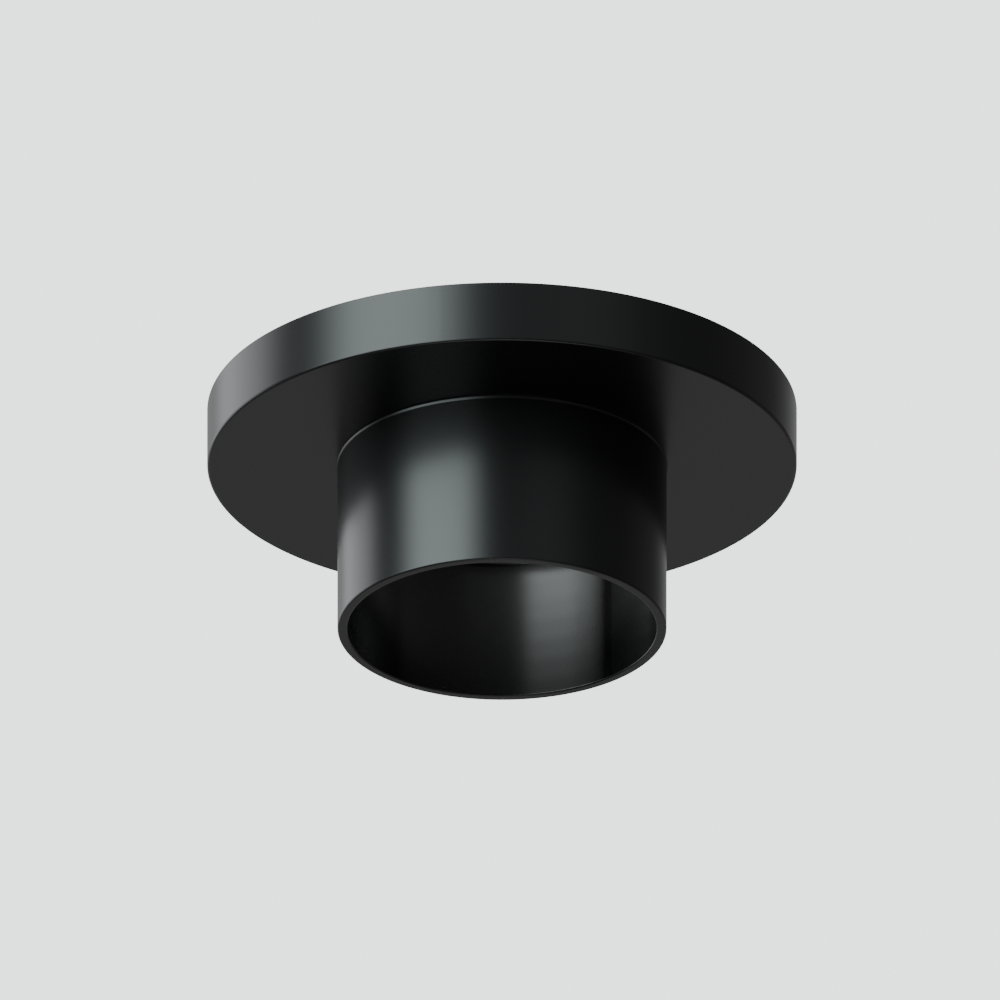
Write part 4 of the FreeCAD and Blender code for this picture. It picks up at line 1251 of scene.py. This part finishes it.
@dataclass
class Wiring:
    """Terminal block, cord clamp and the two leads that run to the driver."""

    wire_d: float = 5.4
    lead_r: float = 0.7
    terminal_angle: float = 333.0
    pole_place_r: Pair = (41.0, 36.0)
    lane_r: Pair = (40.4, 38.4)
    lane_angles: tuple[float, ...] = (2.0, 21.0, 40.0)
    cage_half: float = 4.5
    leave: float = 12.5
    driver_end_angle: float = 70.1
    arrive: float = -11.0
    strands_r: float = 0.45
    strands: Triple = (-2.5, 0.0, 4.8)
    lug_screw_r: float = 45.8
    clamp_r: float = 40.0
    clamp_angle: float = 308.0
    clamp_screw_x: float = 6.25
    foot: float = 1.2
    tip_d: float = 11.1

    def lead(self, side: int, colour: str, finish: Finish) -> None:
        """One supply lead, and the bare strands that its cage grips."""
        pole, lane = self.pole_place_r[side], self.lane_r[side]
        points = [spot(pole, self.terminal_angle, self.wire_d, self.cage_half),
                  spot(pole, self.terminal_angle, self.wire_d, self.leave)]
        points += [spot(lane, angle, self.wire_d) for angle in self.lane_angles]
        points += [spot(lane, self.driver_end_angle, self.wire_d, aside) for aside in (self.arrive, 0.0)]
        lead = Lead(f"supply_wire_{colour}", self.lead_r, finish, tuple(points))
        lead.build([f"supply_lead_{colour}"])
        bare = tuple(spot(pole, self.terminal_angle, self.wire_d, aside) for aside in self.strands)
        Lead(f"supply_strands_{colour}", self.strands_r, COPPER, bare).build()

    def build(self) -> None:
        """Make the block with its cages and screws, the clamp and the leads."""
        softened("terminal_housing", "terminal_block", POLYAMIDE, 0.18)
        softened("terminal_cages", "terminal_clamps", BRASS, 0.0)
        softened("terminal_screw_set", "terminal_screws", STAINLESS, 0.05)
        softened("cord_clamp", "cable_clamp", NYLON, 0.25)
        screw = SMALL_SCREW.shell(FLOOR_D - self.foot, self.tip_d)
        lug = screw.polar(self.lug_screw_r, self.terminal_angle)
        shown("terminal_lug_screw", lug, STAINLESS, ["terminal_fixing_screw"])
        screws = [screw.polar(self.clamp_r + side * self.clamp_screw_x, self.clamp_angle) for side in (-1, 1)]
        shown("clamp_screw_set", screws, STAINLESS, ["clamp_screws"])
        self.lead(0, "red", RED_PVC)
        self.lead(1, "black", BLACK_PVC)


# -------- studio

@dataclass(frozen=True)
class SoftBox:
    """A far, soft panel of light. Azimuth runs from -Y towards +X, and both angles are in degrees."""

    azimuth: float
    half_width: float
    elevation: float
    half_height: float
    feather: float
    radiance: Triple


@dataclass
class Studio:
    """Pale backdrop, far soft panels, floor, and the camera at the photograph's angle."""

    elevation: float = 25.58
    frame_width: float = 0.1831
    middle: Triple = (-0.367, 7.25, -15.24)
    distance: float = 0.6
    backdrop: Triple = (2.34, 2.52, 2.43)
    ambient: Triple = (0.095, 0.095, 0.095)
    boxes: tuple[SoftBox, ...] = (
        SoftBox(-44.5, 24.5, 22.0, 44.0, 12.0, (4.75, 5.4, 5.4)),
        SoftBox(-123.0, 21.0, 22.0, 44.0, 10.0, (1.88, 1.90, 1.97)),
        SoftBox(-172.0, 34.0, 22.0, 44.0, 22.0, (0.36, 0.36, 0.36)),
        SoftBox(34.0, 18.0, 22.0, 40.0, 14.0, (0.18, 0.18, 0.18)),
        SoftBox(128.0, 26.0, 22.0, 40.0, 14.0, (0.04, 0.04, 0.04)),
        SoftBox(0.0, 400.0, 90.0, 26.0, 12.0, (0.9, 0.9, 0.9)),
        SoftBox(180.0, 70.0, -30.0, 26.0, 14.0, (0.085, 0.085, 0.085)),
        SoftBox(0.0, 400.0, -90.0, 16.0, 12.0, (1.3, 1.3, 1.3)),
    )
    floor_section: tuple[Pair, ...] = ((0.0, 600.0), (6000.0, 600.0), (6000.0, 610.0), (0.0, 610.0))
    streak_tint: Triple = (0.93, 1.0, 0.99)
    ladders: tuple[tuple[float, ...], ...] = (
        (2.3, 8.0, 21.0, 0.0, 1.0), (8.0, 11.5, 21.0, 0.0, 0.5), (11.5, 15.0, 21.0, 0.0, 0.12),
        (-3.4, 2.3, 21.0, 0.0, 0.025), (9.5, 19.5, 20.0, 180.0, 0.07),
    )
    rungs: tuple[float, ...] = (5.6, 4.4, 3.6, 2.7, 1.85, 1.2, 0.75)
    ladder_top_d: float = 16.6
    rung: float = 4.0
    fill_d: float = 18.2
    fills: tuple[Triple, ...] = ((0.0, 27.0, 0.15), (11.0, 16.0, 0.10))

    def box(self, tree: Tree, azimuth: Wire, elevation: Wire, box: SoftBox) -> Wire:
        """Colour that one panel adds in a direction.

        Args:
            tree: The world's tree.
            azimuth: Azimuth of the direction in degrees.
            elevation: Its elevation in degrees.
            box: The panel.

        Returns:
            The panel's colour there.
        """
        aside = abs(azimuth - box.azimuth)
        aside = aside.op("MINIMUM", abs(aside - 360.0))
        across = tree.smooth(aside, box.half_width + box.feather, box.half_width - box.feather)
        level = abs(elevation - box.elevation)
        along = tree.smooth(level, box.half_height + box.feather, box.half_height - box.feather)
        return tree.mix(across * along, (0.0, 0.0, 0.0), box.radiance)

    def world(self) -> None:
        """Backdrop for the camera, and the panels over a dim ambient for every other ray."""
        world = bpy.data.worlds.new("studio")
        bpy.context.scene.world = world
        tree = Tree(world)
        direction = tree.node("ShaderNodeTexCoord")["Generated"]
        parts = tree.node("ShaderNodeSeparateXYZ", {}, {0: direction})
        azimuth = parts["X"].op("ARCTAN2", parts["Y"] * -1.0) * math.degrees(1.0)
        elevation = parts["Z"].op("ARCSINE") * math.degrees(1.0)
        light = tree.mix(0.0, self.ambient, self.ambient)
        for box in self.boxes:
            light = tree.vector("ADD", light, self.box(tree, azimuth, elevation, box))
        seen = tree.node("ShaderNodeLightPath")["Is Camera Ray"]
        far = tree.node("ShaderNodeBackground", {}, {"Color": light})["Background"]
        pale = tree.node("ShaderNodeBackground", {}, {"Color": (*self.backdrop, 1.0)})["Background"]
        both = tree.node("ShaderNodeMixShader", {}, {0: seen, 1: far, 2: pale})["Shader"]
        tree.node("ShaderNodeOutputWorld", {}, {"Surface": both})

    def camera(self) -> None:
        """Parallel camera that looks up at the fitting."""
        rise = math.radians(self.elevation)
        data = bpy.data.cameras.new("camera")
        data.type = "ORTHO"
        data.ortho_scale = self.frame_width
        data.clip_end = 10.0
        camera = placed("camera", data)
        x, y, z = (part * MM for part in self.middle)
        back = self.distance
        camera.location = (x, y - back * math.cos(rise), z - back * math.sin(rise))
        camera.rotation_euler = (math.pi / 2 + rise, 0.0, 0.0)
        bpy.context.scene.camera = camera

    def floor(self) -> None:
        """Pale floor far below, which no reflection on the fitting shows."""
        shell = lathe(np.array(self.floor_section), 64)
        mesh = bpy.data.meshes.new("floor")
        mesh.from_pydata((shell.points * MM).tolist(), [], shell.faces.tolist())
        mesh.materials.append(PALE_FLOOR.material())
        floor = placed("floor", mesh)
        floor.visible_glossy = floor.visible_diffuse = floor.visible_transmission = False

    def inner_lights(self) -> None:
        """Hidden lights in the barrel, which its far wall mirrors as one soft upright streak.

        Each ladder of light stands upright between two x at one y, turned from facing +Y by an angle, with a
        share of the rungs' radiances. Soft discs under the glass keep the rest of the wall from going black.
        """
        for start, end, y, turn, share in self.ladders:
            for i, radiance in enumerate(self.rungs):
                data = bpy.data.lights.new("rung", "AREA")
                data.shape, data.color = "RECTANGLE", self.streak_tint
                data.size, data.size_y = (end - start) * MM, self.rung * MM
                data.energy = share * radiance * math.pi * data.size * data.size_y
                place = ((start + end) / 2, y, -self.ladder_top_d - i * self.rung)
                self.hidden(data, place, (math.pi / 2, 0.0, math.radians(turn)))
        for y, radius, radiance in self.fills:
            data = bpy.data.lights.new("fill", "AREA")
            data.shape, data.size = "DISK", 2 * radius * MM
            data.energy = radiance * math.pi * math.pi * (radius * MM) ** 2
            self.hidden(data, (0.0, y, -self.fill_d), (0.0, 0.0, 0.0))

    def hidden(self, data: bpy.types.Light, place: Triple, turn: Triple) -> None:
        """Set up a light that only reflections show, at a place in millimetres."""
        light = placed(data.name, data)
        light.location = [part * MM for part in place]
        light.rotation_euler = turn
        light.visible_camera = light.visible_diffuse = light.visible_transmission = False

    def build(self) -> None:
        """Set up the studio."""
        self.world()
        self.camera()
        self.floor()
        self.inner_lights()
        LOG.info("studio: %d soft panels", len(self.boxes))


def main() -> None:
    """Build the fitting and its studio."""
    thread = Thread()
    parts = (Studio(), MountingRing(), Canopy(thread), GrubScrew(), LightEngine(), Driver(), Wiring(),
             GlassPack(), Barrel(thread))
    for part in parts:
        part.build()
        LOG.info("%s is built", type(part).__name__)


if __name__ == "__main__":
    logging.basicConfig(level=logging.INFO, format="%(message)s")
    main()
